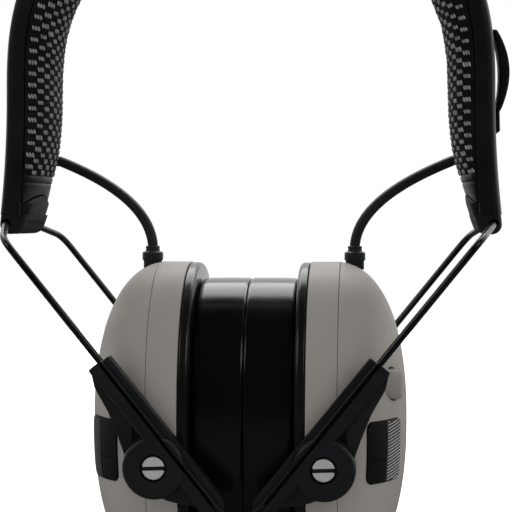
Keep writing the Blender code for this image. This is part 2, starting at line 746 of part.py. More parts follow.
def speaker_parts(prefix, side, pivot):
    centre = (side * SPEAKER_X, 0, CUP_Z - SPEAKER_DROP)
    profile = [
        (0.0, SPEAKER_RADIUS - 0.8), (0.6, SPEAKER_RADIUS), (SPEAKER_DEEP, SPEAKER_RADIUS),
        (SPEAKER_DEEP, MAGNET_RADIUS), (SPEAKER_DEEP + MAGNET_DEEP, MAGNET_RADIUS),
    ]
    make(f"{prefix}_speaker", turned(centre, (side, 0, 0), profile, 18), "black_plastic", pivot)
    back = BAFFLE_X + BAFFLE_THICK
    scale = dome_scale(back, CUP_WALL)
    high = (CUP_HALF_HEIGHT - CUP_WALL) * scale - BAFFLE_ROOM
    wide = (CUP_HALF_WIDTH - CUP_WALL) * scale - BAFFLE_ROOM
    rings = [cup_ring(x, high, wide) for x in (BAFFLE_X, back)]
    baffle = make(f"{prefix}_speaker_baffle", mirrored(loft(rings), side), "black_plastic", pivot)
    cut(baffle, rod(centre, (side, 0, 0), 0.0, 20.0, MAGNET_RADIUS + GAP, 20))


def pivot_screw(name, side, face, pivot):
    seat = ARM_BACK_Y + BOSS_THICK - SCREW_HEAD
    tip = CUP_HALF_WIDTH - SCREW_REACH
    profile = [
        (tip, SCREW_RADIUS - 0.4), (tip + 0.6, SCREW_RADIUS), (seat, SCREW_RADIUS),
        (seat, SCREW_HEAD_RADIUS), (seat + SCREW_HEAD - 0.4, SCREW_HEAD_RADIUS),
        (seat + SCREW_HEAD, SCREW_HEAD_RADIUS - 0.6),
    ]
    axis = (side * PIVOT_X, 0, PIVOT_Z)
    screw = make(name, turned(axis, (0, face, 0), profile, 16), "bright_steel", pivot)
    slot_y = sorted((face * (seat + SCREW_HEAD - 0.8), face * (seat + SCREW_HEAD + 2.0)))
    reach = SCREW_HEAD_RADIUS + 1.0
    low = (side * PIVOT_X - reach, slot_y[0], PIVOT_Z - SCREW_SLOT / 2)
    high = (side * PIVOT_X + reach, slot_y[1], PIVOT_Z + SCREW_SLOT / 2)
    cut(screw, box(low, high))


# Directions along the wire's leg and across it, for the right side
def leg_frame():
    to_pivot = Vector((PIVOT_X - BEND_X, PIVOT_Z - BEND_Z))
    angle = math.atan2(to_pivot.y, to_pivot.x) - math.asin(WIRE_OFFSET / to_pivot.length)
    along = Vector((math.cos(angle), math.sin(angle)))
    return along, Vector((along.y, -along.x))


ALONG, ACROSS = leg_frame()


def leg_point(u, v):
    spot = Vector((PIVOT_X, PIVOT_Z)) + ALONG * u + ACROSS * v
    return spot.x, spot.y


def arm_prism(outline, face, low, high):
    places = [leg_point(u, v) for u, v in outline]
    return prism(places, face * (ARM_BACK_Y + low), face * (ARM_BACK_Y + high))


def leg_rod(side, face, low, high, radius, sides):
    x, z = leg_point(0.0, WIRE_OFFSET)
    start = (side * x, face * WIRE_Y, z)
    return rod(start, (side * ALONG.x, 0, ALONG.y), low, high, radius, sides)


def slide_arm(name, side, face, pivot):
    tail = ARM_TAIL_U
    rail = [
        (ARM_TOP_U, RAIL_LOW), (tail - 3.2, RAIL_LOW), (tail - 1.0, RAIL_LOW + 0.9), (tail, RAIL_LOW + 2.8),
        (tail, RAIL_HIGH - 0.6), (tail - 1.0, RAIL_HIGH + 0.6), (tail - 2.6, RAIL_HIGH + 0.6),
        (tail - 4.0, RAIL_HIGH), (ARM_TOP_U, RAIL_HIGH),
    ]
    web = [
        (ARM_TOP_U + 0.5, RAIL_LOW + 2.0), (ARM_TOP_U + 0.5, RAIL_LOW + 0.2), (-32.7, 0.8), (-23.6, -0.7),
        (-15.2, -3.3), (-10.3, -5.0), (-4.0, -7.0), (8.5, -5.2), (11.5, -3.6), (14.5, -1.2), (17.5, 1.6),
        (20.5, RAIL_LOW + 0.4), (20.5, RAIL_LOW + 2.0),
    ]
    flange = [
        (ARM_TOP_U + 0.4, RAIL_HIGH - 1.6), (tail - 2.0, RAIL_HIGH - 1.6), (tail - 2.4, FLANGE_HIGH - 1.6),
        (tail - 4.2, FLANGE_HIGH - 0.3), (tail - 6.0, FLANGE_HIGH), (ARM_TOP_U + 0.4, FLANGE_HIGH),
    ]
    shape = arm_prism(rail, face, ARM_STEP, ARM_STEP + RAIL_THICK)
    arm = make(name, mirrored(shape, side), "black_plastic", pivot)
    join(arm, mirrored(arm_prism(web, face, 2 * ARM_STEP, 2 * ARM_STEP + WEB_THICK), side))
    join(arm, mirrored(arm_prism(flange, face, 1.5 * ARM_STEP, 1.5 * ARM_STEP + FLANGE_THICK), side))
    axis = (side * PIVOT_X, face * ARM_BACK_Y, PIVOT_Z)
    boss = [(0.0, BOSS_RADIUS), (BOSS_THICK - 0.6, BOSS_RADIUS), (BOSS_THICK, BOSS_RADIUS - 0.6)]
    join(arm, turned(axis, (0, face, 0), boss, 22))
    cut(arm, leg_rod(side, face, ARM_TOP_U - 2, tail + 2, WIRE_RADIUS + LOOSE, 12))
    half = WIRE_SLIT / 2
    slit = [
        (ARM_TOP_U - 2, WIRE_OFFSET - half), (tail + 2, WIRE_OFFSET - half),
        (tail + 2, WIRE_OFFSET + half), (ARM_TOP_U - 2, WIRE_OFFSET + half),
    ]
    cut(arm, mirrored(arm_prism(slit, face, WIRE_Y - ARM_BACK_Y, BOSS_THICK + 2), side))
    cut(arm, leg_rod(side, face, BEAD_TOP_U - GAP, tail + 2, BEAD_RADIUS + LOOSE, 12))
    cut(arm, rod(axis, (0, face, 0), -2.0, BOSS_THICK + 2, SCREW_RADIUS + LOOSE, 12))
    seat = BOSS_THICK - SCREW_HEAD - GAP
    cut(arm, rod(axis, (0, face, 0), seat, BOSS_THICK + 2, SCREW_HEAD_RADIUS + 2 * GAP, 18))


def wire_bail(name, side):
    hinge = (side * HINGE_X, 0, HINGE_Z)
    tip_x, tip_z = leg_point(WIRE_END_U, WIRE_OFFSET)
    shoulder = CAP_HALF_WIDTH
    half = [(tip_x, WIRE_Y, tip_z), (BEND_X, WIRE_Y, BEND_Z), (HINGE_X, shoulder, HINGE_Z)]
    path = [(side * x, -y, z) for x, y, z in half] + [(side * x, y, z) for x, y, z in reversed(half)]
    make(name, tube(rounded(path, BEND_RADIUS, 5), WIRE_RADIUS, 8), "spring_steel", hinge)


def wire_tip(name, side, face):
    hinge = (side * HINGE_X, 0, HINGE_Z)
    x, z = leg_point(0.0, WIRE_OFFSET)
    start = (side * x, face * WIRE_Y, z)
    end = BEAD_TOP_U + BEAD_LONG
    profile = [
        (WIRE_END_U + GAP, WIRE_RADIUS + LOOSE), (BEAD_TOP_U, WIRE_RADIUS + LOOSE),
        (BEAD_TOP_U, BEAD_RADIUS), (end - 0.5, BEAD_RADIUS), (end, BEAD_RADIUS - 0.5),
    ]
    make(name, turned(start, (side * ALONG.x, 0, ALONG.y), profile, 10), "black_plastic", hinge)


def lead_gland(name, side, pivot):
    bore = LEAD_RADIUS + LOOSE
    deep = GLAND_TOP_Z - GLAND_LOW_Z
    section = [
        (0.0, bore), (0.0, NECK_RADIUS - 0.1), (2.0, NECK_RADIUS), (2.2, COLLAR_RADIUS),
        (GLAND_TOP_Z - CUP_Z - CUP_HALF_HEIGHT - GAP, COLLAR_RADIUS),
        (GLAND_TOP_Z - CUP_Z - CUP_HALF_HEIGHT - GAP, GLAND_RADIUS), (deep, GLAND_RADIUS), (deep, bore),
    ]
    rings = []
    for along, radius in section:
        ring = []
        for k in range(12):
            turn = 2 * math.pi * k / 12
            x = GLAND_X + radius * math.cos(turn)
            ring.append((side * x, GLAND_Y + radius * math.sin(turn), GLAND_TOP_Z - along))
        rings.append(ring)
    make(name, loft(rings, closed=True), "black_rubber", pivot)


def side_lead(name, side):
    start_x = band_outer_x(LEAD_EXIT_Z) - PAD_FLOOR - GAP
    leave = Vector((band_inner_x(LEAD_EXIT_Z) + 1.0, LEAD_Y, LEAD_EXIT_Z))
    enter = Vector((GLAND_X, GLAND_Y, GLAND_TOP_Z + 0.5))
    pull = (enter - leave).length
    first = leave + Vector((-0.35 * pull, 0, -0.14 * pull))
    second = enter + Vector((0.03 * pull, 0, 0.30 * pull))
    path = [Vector((start_x, LEAD_Y, LEAD_EXIT_Z)), (Vector((start_x, LEAD_Y, LEAD_EXIT_Z)) + leave) / 2]
    steps = 12
    for i in range(steps + 1):
        t = i / steps
        near_start = leave * (1 - t) ** 3 + first * 3 * t * (1 - t) ** 2
        path.append(near_start + second * 3 * t * t * (1 - t) + enter * t ** 3)
    path.append(Vector((GLAND_X, GLAND_Y, GLAND_TOP_Z - 3.0)))
    path.append(Vector((GLAND_X, GLAND_Y, GLAND_LOW_Z + 1.0)))
    path = [(side * p.x, p.y, p.z) for p in path]
    make(name, tube(path, LEAD_RADIUS, LEAD_SIDES), "black_rubber")


def ribbed_ring(x, radius, depth):
    ring = []
    count = 2 * KNOB_RIBS
    for k in range(count):
        turn = 2 * math.pi * k / count
        out = radius - depth * (k % 2)
        ring.append((x, KNOB_Y + out * math.cos(turn), KNOB_Z + out * math.sin(turn)))
    return ring


def volume_parts(pivot):
    bore = SHAFT_RADIUS + LOOSE
    rings = [
        ribbed_ring(KNOB_FROM_X + 2.0, bore, 0.0), ribbed_ring(KNOB_FROM_X, bore, 0.0),
        ribbed_ring(KNOB_FROM_X, KNOB_RADIUS, 0.35), ribbed_ring(KNOB_TO_X - 0.8, KNOB_RADIUS, 0.35),
        ribbed_ring(KNOB_TO_X, KNOB_RADIUS - 0.9, 0.0),
    ]
    make("volume_knob", loft(rings), "grey_shell", (KNOB_FROM_X, KNOB_Y, KNOB_Z))
    board_back = BOARD_X + BOARD_THICK + GAP
    body = 2.4
    profile = [(0.0, POT_RADIUS), (body, POT_RADIUS), (body, SHAFT_RADIUS)]
    profile.append((KNOB_FROM_X + 2.0 - GAP - board_back, SHAFT_RADIUS))
    shape = turned((board_back, KNOB_Y, KNOB_Z), (1, 0, 0), profile, 14)
    make("volume_control", shape, "black_plastic", pivot)
    low = (BOARD_X, KNOB_Y - POT_RADIUS - 0.8, CUP_Z - BOARD_DROP)
    high = (BOARD_X + BOARD_THICK, -KNOB_Y, KNOB_Z + POT_RADIUS + 1.0)
    make("circuit_board", box(low, high), "board_green", pivot)
    low_z = CUP_Z - CUP_HALF_HEIGHT + 2.2
    profile = [
        (10.0, 1.8), (0.0, 1.8), (0.0, JACK_RADIUS - 0.6), (0.6, JACK_RADIUS), (11.0, JACK_RADIUS),
    ]
    make("audio_jack", turned((JACK_X, 0, low_z), (0, 0, 1), profile, 16), "black_plastic", pivot)


def battery_parts(pivot):
    shape = skin(door_columns(0.0), -DOOR_THICK, 0.0, door_surface, 5)
    hinge = (-dome_x(0, DOOR_LOW_Z, GAP), 0, DOOR_LOW_Z - GAP / 2)
    make("battery_door", mirrored(shape, -1), "grey_shell", hinge)
    back = TRAY_X + TRAY_THICK
    middle = (DOOR_LOW_Z + DOOR_TOP_Z) / 2
    end = CELL_LONG / 2 + GAP
    rise = 2 * CELL_RADIUS - 3.0
    section = [
        (TRAY_X, -end - TRAY_THICK), (TRAY_X, end + TRAY_THICK), (back + rise, end + TRAY_THICK),
        (back + rise, end), (back, end), (back, -end), (back + rise, -end), (back + rise, -end - TRAY_THICK),
    ]
    rings = [[(-x, y, z) for x, y in section] for z in (middle - CELL_PITCH, middle + CELL_PITCH)]
    make("battery_tray", loft(rings), "black_plastic", pivot)
    for name, way in (("battery_a", 1), ("battery_b", -1)):
        centre = (-(back + GAP + CELL_RADIUS), 0, middle + way * CELL_PITCH / 2)
        half = CELL_LONG / 2
        profile = [
            (-half, CELL_RADIUS - 0.4), (0.4 - half, CELL_RADIUS), (half - 1.5, CELL_RADIUS),
            (half - 1.1, CELL_RADIUS - 0.4), (half - 1.1, 1.9), (half, 1.9),
        ]
        make(name, turned(centre, (0, way, 0), profile, 12), "cell_jacket", pivot)


def build():
    clear_scene()
    band_cover()
    band_pad()
    band_strip()
    band_lead()
    strap_loop()
    for prefix, side in (("left", -1), ("right", 1)):
        end_block(f"{prefix}_end_block", side)
        block_rivet(f"{prefix}_block_rivet", side)
        wire_bail(f"{prefix}_wire_bail", side)
        pivot = (side * PIVOT_X, 0, PIVOT_Z)
        for place, face in (("front", -1), ("rear", 1)):
            wire_tip(f"{prefix}_{place}_wire_tip", side, face)
            slide_arm(f"{prefix}_{place}_arm", side, face, pivot)
            pivot_screw(f"{prefix}_{place}_screw", side, face, pivot)
        base_shell(f"{prefix}_base_shell", side, pivot)
        outer_shell(f"{prefix}_outer_shell", side, pivot)
        cushion_plate(f"{prefix}_cushion_plate", side, pivot)
        ear_cushion(f"{prefix}_ear_cushion", side, pivot)
        foam_liner(f"{prefix}_foam_liner", side, pivot)
        speaker_parts(prefix, side, pivot)
        mic_panel(prefix, side, pivot)
        lead_gland(f"{prefix}_lead_gland", side, pivot)
        side_lead(f"{prefix}_lead", side)
    volume_parts((PIVOT_X, 0, PIVOT_Z))
    battery_parts((-PIVOT_X, 0, PIVOT_Z))


build()
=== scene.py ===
import bisect
import json
import math
from functools import partial

import bmesh
import bpy
from mathutils import Matrix, Vector

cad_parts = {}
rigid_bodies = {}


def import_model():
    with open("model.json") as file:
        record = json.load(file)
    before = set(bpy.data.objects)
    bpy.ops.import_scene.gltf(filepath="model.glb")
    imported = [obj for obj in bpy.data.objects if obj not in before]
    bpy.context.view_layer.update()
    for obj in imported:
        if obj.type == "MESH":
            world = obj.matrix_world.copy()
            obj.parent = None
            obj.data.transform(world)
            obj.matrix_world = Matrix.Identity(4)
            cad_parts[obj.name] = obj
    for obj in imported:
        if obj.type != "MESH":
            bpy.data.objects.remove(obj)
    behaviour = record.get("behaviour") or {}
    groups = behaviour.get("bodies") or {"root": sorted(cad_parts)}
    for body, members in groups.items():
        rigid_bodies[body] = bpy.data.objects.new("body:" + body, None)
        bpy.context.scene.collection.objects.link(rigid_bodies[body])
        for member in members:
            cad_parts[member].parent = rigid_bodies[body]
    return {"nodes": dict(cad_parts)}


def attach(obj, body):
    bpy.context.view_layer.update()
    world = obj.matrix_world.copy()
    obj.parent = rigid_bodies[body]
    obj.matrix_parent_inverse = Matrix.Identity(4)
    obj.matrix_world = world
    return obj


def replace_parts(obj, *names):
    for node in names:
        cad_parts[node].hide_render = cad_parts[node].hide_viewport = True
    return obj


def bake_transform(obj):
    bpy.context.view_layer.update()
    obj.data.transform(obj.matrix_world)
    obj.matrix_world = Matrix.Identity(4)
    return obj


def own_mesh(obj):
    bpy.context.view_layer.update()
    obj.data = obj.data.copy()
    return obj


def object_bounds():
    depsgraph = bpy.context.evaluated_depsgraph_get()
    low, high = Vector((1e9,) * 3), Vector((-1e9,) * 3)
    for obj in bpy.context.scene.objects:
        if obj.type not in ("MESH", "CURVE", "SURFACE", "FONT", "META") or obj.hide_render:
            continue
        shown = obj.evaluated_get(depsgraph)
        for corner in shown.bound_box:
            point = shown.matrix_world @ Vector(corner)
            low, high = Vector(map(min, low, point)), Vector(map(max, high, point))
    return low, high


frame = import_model()
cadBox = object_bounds()
mm = 0.001  # every size below is in millimetres until a mesh is made
gap = 0.3
loose = 0.25
bothSides = (("left", -1), ("right", 1))
print("frame loaded with", len(frame["nodes"]), "nodes")


# meshes

def rework(mesh, *steps):
    work = bmesh.new()
    work.from_mesh(mesh)
    for step in steps:
        step(work)
    work.to_mesh(mesh)
    work.free()
    return mesh


def mergeDoubles(work):
    bmesh.ops.remove_doubles(work, verts=work.verts[:], dist=1e-6)


def faceOutwards(work):
    bmesh.ops.recalc_face_normals(work, faces=work.faces[:])


def dropEmptyFaces(work):  # which bevels and cuts leave
    bmesh.ops.dissolve_degenerate(work, edges=work.edges[:], dist=1e-6)


def closeMesh(name, points, faces, uvs):
    mesh = bpy.data.meshes.new(name)
    mesh.from_pydata([[c * mm for c in p] for p in points], [], faces)
    layer = mesh.uv_layers.new(name="flow")
    for loop in mesh.loops:
        layer.data[loop.index].uv = uvs[loop.vertex_index]
    return rework(mesh, mergeDoubles, faceOutwards)


def gridMesh(name, rows, wrapRows=False, wrapCols=True, caps=False, across=None):
    rows = [list(r) for r in rows]
    if wrapCols:
        rows = [r + [r[0]] for r in rows]  # the doubled seam keeps the UVs straight, and is merged
    if wrapRows:
        rows = rows + [rows[0]]
    n, m = len(rows), len(rows[0])
    faces = [
        (i * m + j, i * m + j + 1, (i + 1) * m + j + 1, (i + 1) * m + j)
        for i in range(n - 1) for j in range(m - 1)
    ]
    if caps:
        last = m - 1 if wrapCols else m
        faces.append(tuple(range(last))[::-1])
        faces.append(tuple((n - 1) * m + j for j in range(last)))
    across = across or [j / (m - 1) for j in range(m)]
    uvs = [(i / (n - 1), across[j]) for i in range(n) for j in range(m)]
    return closeMesh(name, [p for r in rows for p in r], faces, uvs)


def smoothed(mesh, angle):
    mesh.shade_smooth()
    mesh.set_sharp_from_angle(angle=math.radians(angle))


def place(name, mesh, look, smooth=32):
    smoothed(mesh, smooth)
    mesh.materials.clear()
    if look:
        mesh.materials.append(look)
    obj = bpy.data.objects.new(name, mesh)
    bpy.context.scene.collection.objects.link(obj)
    return obj


def bake(obj):  # modifiers into a plain mesh
    graph = bpy.context.evaluated_depsgraph_get()
    mesh = bpy.data.meshes.new_from_object(
        obj.evaluated_get(graph), preserve_all_data_layers=True, depsgraph=graph)
    old = obj.data
    obj.modifiers.clear()
    obj.data = mesh
    bpy.data.meshes.remove(old)
    return obj


def soften(obj, width, angle, steps=3):
    edge = obj.modifiers.new("edge", "BEVEL")
    edge.width, edge.segments = width * mm, steps
    edge.limit_method, edge.angle_limit = "ANGLE", math.radians(angle)
    edge.miter_outer = "MITER_ARC"
    bake(obj)


def carve(obj, tools, way="DIFFERENCE"):
    for tool in tools:
        change = obj.modifiers.new("carve", "BOOLEAN")
        change.operation, change.solver, change.object = way, "EXACT", tool
        change.use_self = way == "UNION"
        bake(obj)
        bpy.data.objects.remove(tool, do_unlink=True)


def sharpen(obj, angle):
    rework(obj.data, mergeDoubles, dropEmptyFaces)
    smoothed(obj.data, angle)
    return obj


def mirrored(rows, side):
    return [[(side * p[0], p[1], p[2]) for p in r] for r in rows]


def crossWays(axis):
    helper = Vector((0, 0, 1)) if abs(axis.z) < 0.9 else Vector((1, 0, 0))
    first = axis.cross(helper).normalized()
    return first, axis.cross(first).normalized()


def circleAt(middle, first, second, radius, count):
    turns = [2 * math.pi * k / count for k in range(count)]
    return [tuple(middle + (first * math.cos(t) + second * math.sin(t)) * radius) for t in turns]


def turnedRows(start, axis, profile, count=48):
    axis = Vector(axis).normalized()
    first, second = crossWays(axis)
    return [circleAt(Vector(start) + axis * along, first, second, radius, count) for along, radius in profile]


def solid(name, rows, look=None, smooth=32):
    return place(name, gridMesh(name, rows, caps=True), look, smooth)


def rod(name, start, axis, low, high, radius, count=40):
    return solid(name, turnedRows(start, axis, [(low, radius), (high, radius)], count))


def tubeRows(path, radius, count):
    path = [Vector(p) for p in path]
    last = len(path) - 1
    along = [(path[min(i + 1, last)] - path[max(i - 1, 0)]).normalized() for i in range(last + 1)]
    first = crossWays(along[0])[0]
    rows = []
    for point, way in zip(path, along):
        first = (first - way * first.dot(way)).normalized()
        rows.append(circleAt(point, first, way.cross(first), radius, count))
    return rows


def roundedPath(path, radius, steps, closed=False):
    path = [Vector(p) for p in path]
    made = [] if closed else [path[0]]
    corners = range(len(path)) if closed else range(1, len(path) - 1)
    for i in corners:
        before, corner, after = path[i - 1], path[i], path[(i + 1) % len(path)]
        reach = min(radius, (before - corner).length * 0.45, (after - corner).length * 0.45)
        start = corner + (before - corner).normalized() * reach
        end = corner + (after - corner).normalized() * reach
        for k in range(steps + 1):
            t = k / steps
            made.append(start * (1 - t) ** 2 + corner * 2 * t * (1 - t) + end * t * t)
    if not closed:
        made.append(path[-1])
    return made


def arc(centre, radius, start, end, steps):
    turns = [math.radians(start + (end - start) * k / steps) for k in range(steps + 1)]
    return [(centre[0] + radius * math.cos(t), centre[1] + radius * math.sin(t)) for t in turns]


def puff(obj, held, push, cap, frames=20):  # filled from inside with cloth, and moved no further than the cap
    start = [v.co.copy() for v in obj.data.vertices]
    group = obj.vertex_groups.new(name="held")
    group.add([i for i, h in enumerate(held) if h], 1.0, "REPLACE")
    cloth = obj.modifiers.new("filling", "CLOTH")
    how = cloth.settings
    how.quality, how.mass, how.air_damping = 6, 0.0006, 2.0
    how.tension_stiffness = how.compression_stiffness = 14.0
    how.shear_stiffness, how.bending_stiffness = 8.0, 0.6
    how.use_pressure, how.uniform_pressure_force = True, push
    how.vertex_group_mass = group.name
    how.effector_weights.gravity = 0.0
    cloth.point_cache.frame_start, cloth.point_cache.frame_end = 1, frames
    scene = bpy.context.scene
    for frameNumber in range(1, frames + 1):
        scene.frame_set(frameNumber)
    shaped = obj.evaluated_get(bpy.context.evaluated_depsgraph_get()).data
    end = [v.co.copy() for v in shaped.vertices]
    obj.modifiers.clear()
    obj.vertex_groups.clear()
    scene.frame_set(1)
    most = 0.0
    for vertex, a, b in zip(obj.data.vertices, start, end):
        step = b - a
        most = max(most, step.length)
        vertex.co = a + step * min(1.0, cap * mm / max(step.length, 1e-9))
    obj.data.update()
    print(obj.name, "filled, and its points moved up to", round(most / mm, 2), "mm before the cap")
    return obj


# node trees

def feed(tree, node, sockets):  # a node given as a value stands for its first output
    for key, value in sockets.items():
        if isinstance(value, bpy.types.Node):
            value = value.outputs[0]
        if isinstance(value, bpy.types.NodeSocket):
            tree.links.new(value, node.inputs[key])
        else:
            node.inputs[key].default_value = value
    return node


def put(tree, kind, sockets=None, **settings):
    families = ("GeometryNode", "ShaderNode", "FunctionNode") if tree.type == "GEOMETRY" else ("ShaderNode",)
    node = tree.nodes.new(next(f + kind for f in families if hasattr(bpy.types, f + kind)))
    for key, value in settings.items():
        setattr(node, key, value)
    return feed(tree, node, sockets or {})


def mathOf(tree, operation, *values):
    return put(tree, "Math", dict(enumerate(values)), operation=operation).outputs[0]


def newGroup(name, kind, ins, outs):  # an input has a default value, or the name of its kind
    group = bpy.data.node_groups.new(name, kind)
    for label, value in ins.items():
        word = value if isinstance(value, str) else {int: "Int", float: "Float"}[type(value)]
        made = group.interface.new_socket(label, in_out="INPUT", socket_type="NodeSocket" + word)
        if word != value:
            made.default_value = value
    for label, word in outs.items():
        group.interface.new_socket(label, in_out="OUTPUT", socket_type="NodeSocket" + word)
    if kind == "GeometryNodeTree":
        group.is_modifier = True
    into, out = group.nodes.new("NodeGroupInput"), group.nodes.new("NodeGroupOutput")
    return group, into.outputs, out, partial(put, group), partial(mathOf, group)


def endTree(tree, out, shape, look):
    real = put(tree, "RealizeInstances", {0: shape})
    feed(tree, out, {0: put(tree, "SetMaterial", {"Geometry": real, "Material": look})})
    return tree


def runTree(obj, tree, values):
    change = obj.modifiers.new(tree.name, "NODES")
    change.node_group = tree
    for item in tree.interface.items_tree:
        if item.item_type == "SOCKET" and item.in_out == "INPUT" and item.name in values:
            change[item.identifier] = values[item.name]
    return bake(obj)


def newLook(name):
    look = bpy.data.materials.new(name)
    look.use_nodes = True
    return look, look.node_tree, look.node_tree.nodes["Principled BSDF"]


# shared effects of the finishes

def grainGroup():  # fine moulded texture, and slow colour changes over the piece
    group, into, out, add, calc = newGroup("mouldedGrain", "ShaderNodeTree", {
        "Vector": "Vector", "Grain": 1800.0, "Patch": 45.0}, {"Height": "Float", "Patch": "Float"})
    spot, scale = into["Vector"], into["Grain"]
    fine = add("TexNoise", {"Vector": spot, "Scale": scale, "Detail": 2.0, "Roughness": 0.55})
    cells = add("TexVoronoi", {"Vector": spot, "Scale": scale}, feature="SMOOTH_F1")
    slow = add("TexNoise", {"Vector": spot, "Scale": into["Patch"], "Detail": 4.0, "Roughness": 0.6})
    feed(group, out, {"Height": calc("MULTIPLY_ADD", cells, 0.6, fine), "Patch": slow})
    return group


def wearGroup():  # edges rubbed a little, in patches
    group, into, out, add, calc = newGroup("edgeRub", "ShaderNodeTree", {
        "Colour": "Color", "Rubbed": "Color", "Amount": 0.3, "Vector": "Vector"},
        {"Colour": "Color", "Mask": "Float"})
    shape = add("NewGeometry").outputs["Pointiness"]
    edge = add("MapRange", {"Value": shape, "From Min": 0.51, "From Max": 0.60})
    patchy = add("TexNoise", {"Vector": into["Vector"], "Scale": 220.0, "Detail": 5.0})
    broken = add("MapRange", {"Value": patchy, "From Min": 0.35, "From Max": 0.65})
    mask = calc("MULTIPLY", calc("MULTIPLY", edge, broken), into["Amount"])
    mix = add("Mix", {"Factor": mask, 6: into["Colour"], 7: into["Rubbed"]}, data_type="RGBA")
    feed(group, out, {"Colour": mix.outputs[2], "Mask": mask})
    return group


def poreGroup():  # creased skin of soft vinyl
    group, into, out, add, calc = newGroup("vinylSkin", "ShaderNodeTree", {
        "Vector": "Vector", "Scale": 900.0, "Crease": 60.0}, {"Height": "Float"})
    bend = add("TexNoise", {"Vector": into["Vector"], "Scale": into["Crease"], "Detail": 3.0})
    pores = add("TexVoronoi", {"Vector": into["Vector"], "Scale": into["Scale"]}, feature="DISTANCE_TO_EDGE")
    flat = add("MapRange", {"Value": pores, "From Min": 0.0, "From Max": 0.25})
    feed(group, out, {"Height": calc("MULTIPLY_ADD", bend, 2.2, flat)})
    return group


grainTree, wearTree, poreTree = grainGroup(), wearGroup(), poreGroup()


def finish(name, colour, tint, rough, spread=0.08, grain=1800.0, patch=45.0, depth=0.05, strength=0.4,
           rub=0.0, rubbed=None, skin=False, crease=60.0, metal=0.0, spec=0.5):
    look, tree, shader = newLook(name)
    add = partial(put, tree)
    spot = add("TexCoord").outputs["Object"]
    base = add("Group", {"Vector": spot, "Grain": grain, "Patch": patch}, node_tree=grainTree)
    slow = {"Value": base.outputs["Patch"], "From Min": 0.3, "From Max": 0.7}
    mix = add("Mix", {"Factor": add("MapRange", slow), 6: (*colour, 1), 7: (*tint, 1)}, data_type="RGBA")
    last, height = mix.outputs[2], base.outputs["Height"]
    if rub:
        worn = {"Vector": spot, "Colour": last, "Rubbed": (*rubbed, 1), "Amount": rub}
        last = add("Group", worn, node_tree=wearTree).outputs["Colour"]
    if skin:
        pores = {"Vector": spot, "Scale": grain, "Crease": crease}
        height = add("Group", pores, node_tree=poreTree).outputs["Height"]
    gloss = add("MapRange", {**slow, "To Min": rough - spread / 2, "To Max": rough + spread / 2})
    bump = add("Bump", {"Height": height, "Strength": strength, "Distance": depth * mm})
    feed(tree, shader, {"Base Color": last, "Roughness": gloss, "Normal": bump, "Metallic": metal,
                        "Specular IOR Level": spec})
    return look


shellGrey = finish("shellGrey", (0.232, 0.215, 0.197), (0.214, 0.198, 0.181), 0.52, grain=2600.0, depth=0.03,
                   rub=0.25, rubbed=(0.29, 0.272, 0.252), spec=0.4)
armBlack = finish("armBlack", (0.0046, 0.0051, 0.0060), (0.0064, 0.0070, 0.0080), 0.36, grain=2200.0, depth=0.02,
                  rub=0.35, rubbed=(0.030, 0.031, 0.034), spec=0.3)
blockBlack = finish("blockBlack", (0.0050, 0.0050, 0.0050), (0.0070, 0.0070, 0.0070), 0.60, grain=2000.0, depth=0.03,
                    rub=0.2, rubbed=(0.024, 0.024, 0.024), spec=0.13)
plateBlack = finish("plateBlack", (0.0032, 0.0031, 0.0030), (0.0048, 0.0046, 0.0044), 0.24, grain=1500.0, depth=0.010,
                    spec=0.45)
cushionSkin = finish("cushionSkin", (0.0011, 0.0011, 0.0012), (0.0020, 0.0020, 0.0021), 0.19, grain=1500.0,
                     depth=0.03, strength=0.12, skin=True, crease=55.0)
bandVinyl = finish("bandVinyl", (0.0034, 0.0032, 0.0032), (0.0054, 0.0051, 0.0051), 0.42, grain=1700.0, depth=0.05,
                   strength=0.35, skin=True, crease=90.0, spec=0.18)
meshCloth = finish("meshCloth", (0.0030, 0.0030, 0.0032), (0.0055, 0.0055, 0.0058), 0.85, grain=2600.0, depth=0.25,
                   strength=0.8, spec=0.1)
meshSpot = finish("meshSpot", (0.090, 0.090, 0.087), (0.240, 0.239, 0.233), 0.72, spread=0.15, grain=5200.0,
                  patch=420.0, depth=0.08, strength=0.7, spec=0.3)
wireSteel = finish("wireSteel", (0.042, 0.041, 0.040), (0.062, 0.061, 0.059), 0.28, spread=0.12, grain=2400.0,
                   depth=0.012, metal=1.0)
screwSteel = finish("screwSteel", (0.42, 0.42, 0.415), (0.50, 0.50, 0.495), 0.40, spread=0.12, grain=2600.0,
                    depth=0.015, metal=0.45)  # zinc plate, satin
# painted shade: the screw slots' floor and walls are coloured dark to stand in for the shadow in the recess
slotDark = finish("slotDark", (0.010, 0.010, 0.010), (0.016, 0.016, 0.016), 0.6, grain=2600.0, depth=0.02)
leadRubber = finish("leadRubber", (0.0070, 0.0070, 0.0074), (0.0105, 0.0105, 0.0110), 0.46, grain=2600.0, depth=0.04,
                    spec=0.3)
panelBlack = finish("panelBlack", (0.0032, 0.0032, 0.0034), (0.0056, 0.0056, 0.0060), 0.55, grain=2400.0, depth=0.1,
                    strength=0.6, spec=0.12)
# painted light and shade: lit copies for the right cup's hatch wires and screen back, a shaded near-black copy of the
# wires for the left cup
screenLight = finish("screenLight", (0.25, 0.248, 0.243), (0.31, 0.307, 0.301), 0.50, grain=3000.0, depth=0.02)
screenDark = finish("screenDark", (0.010, 0.010, 0.0105), (0.016, 0.016, 0.0165), 0.45, grain=3000.0, depth=0.02)
screenBack = finish("screenBack", (0.030, 0.030, 0.030), (0.042, 0.042, 0.042), 0.7, grain=2600.0, depth=0.05,
                    spec=0.1)
liningFoam = finish("liningFoam", (0.022, 0.022, 0.023), (0.036, 0.036, 0.038), 0.95, grain=1300.0, patch=300.0,
                    depth=0.5, strength=1.0)
speakerPlastic = finish("speakerPlastic", (0.010, 0.010, 0.011), (0.015, 0.015, 0.016), 0.5)
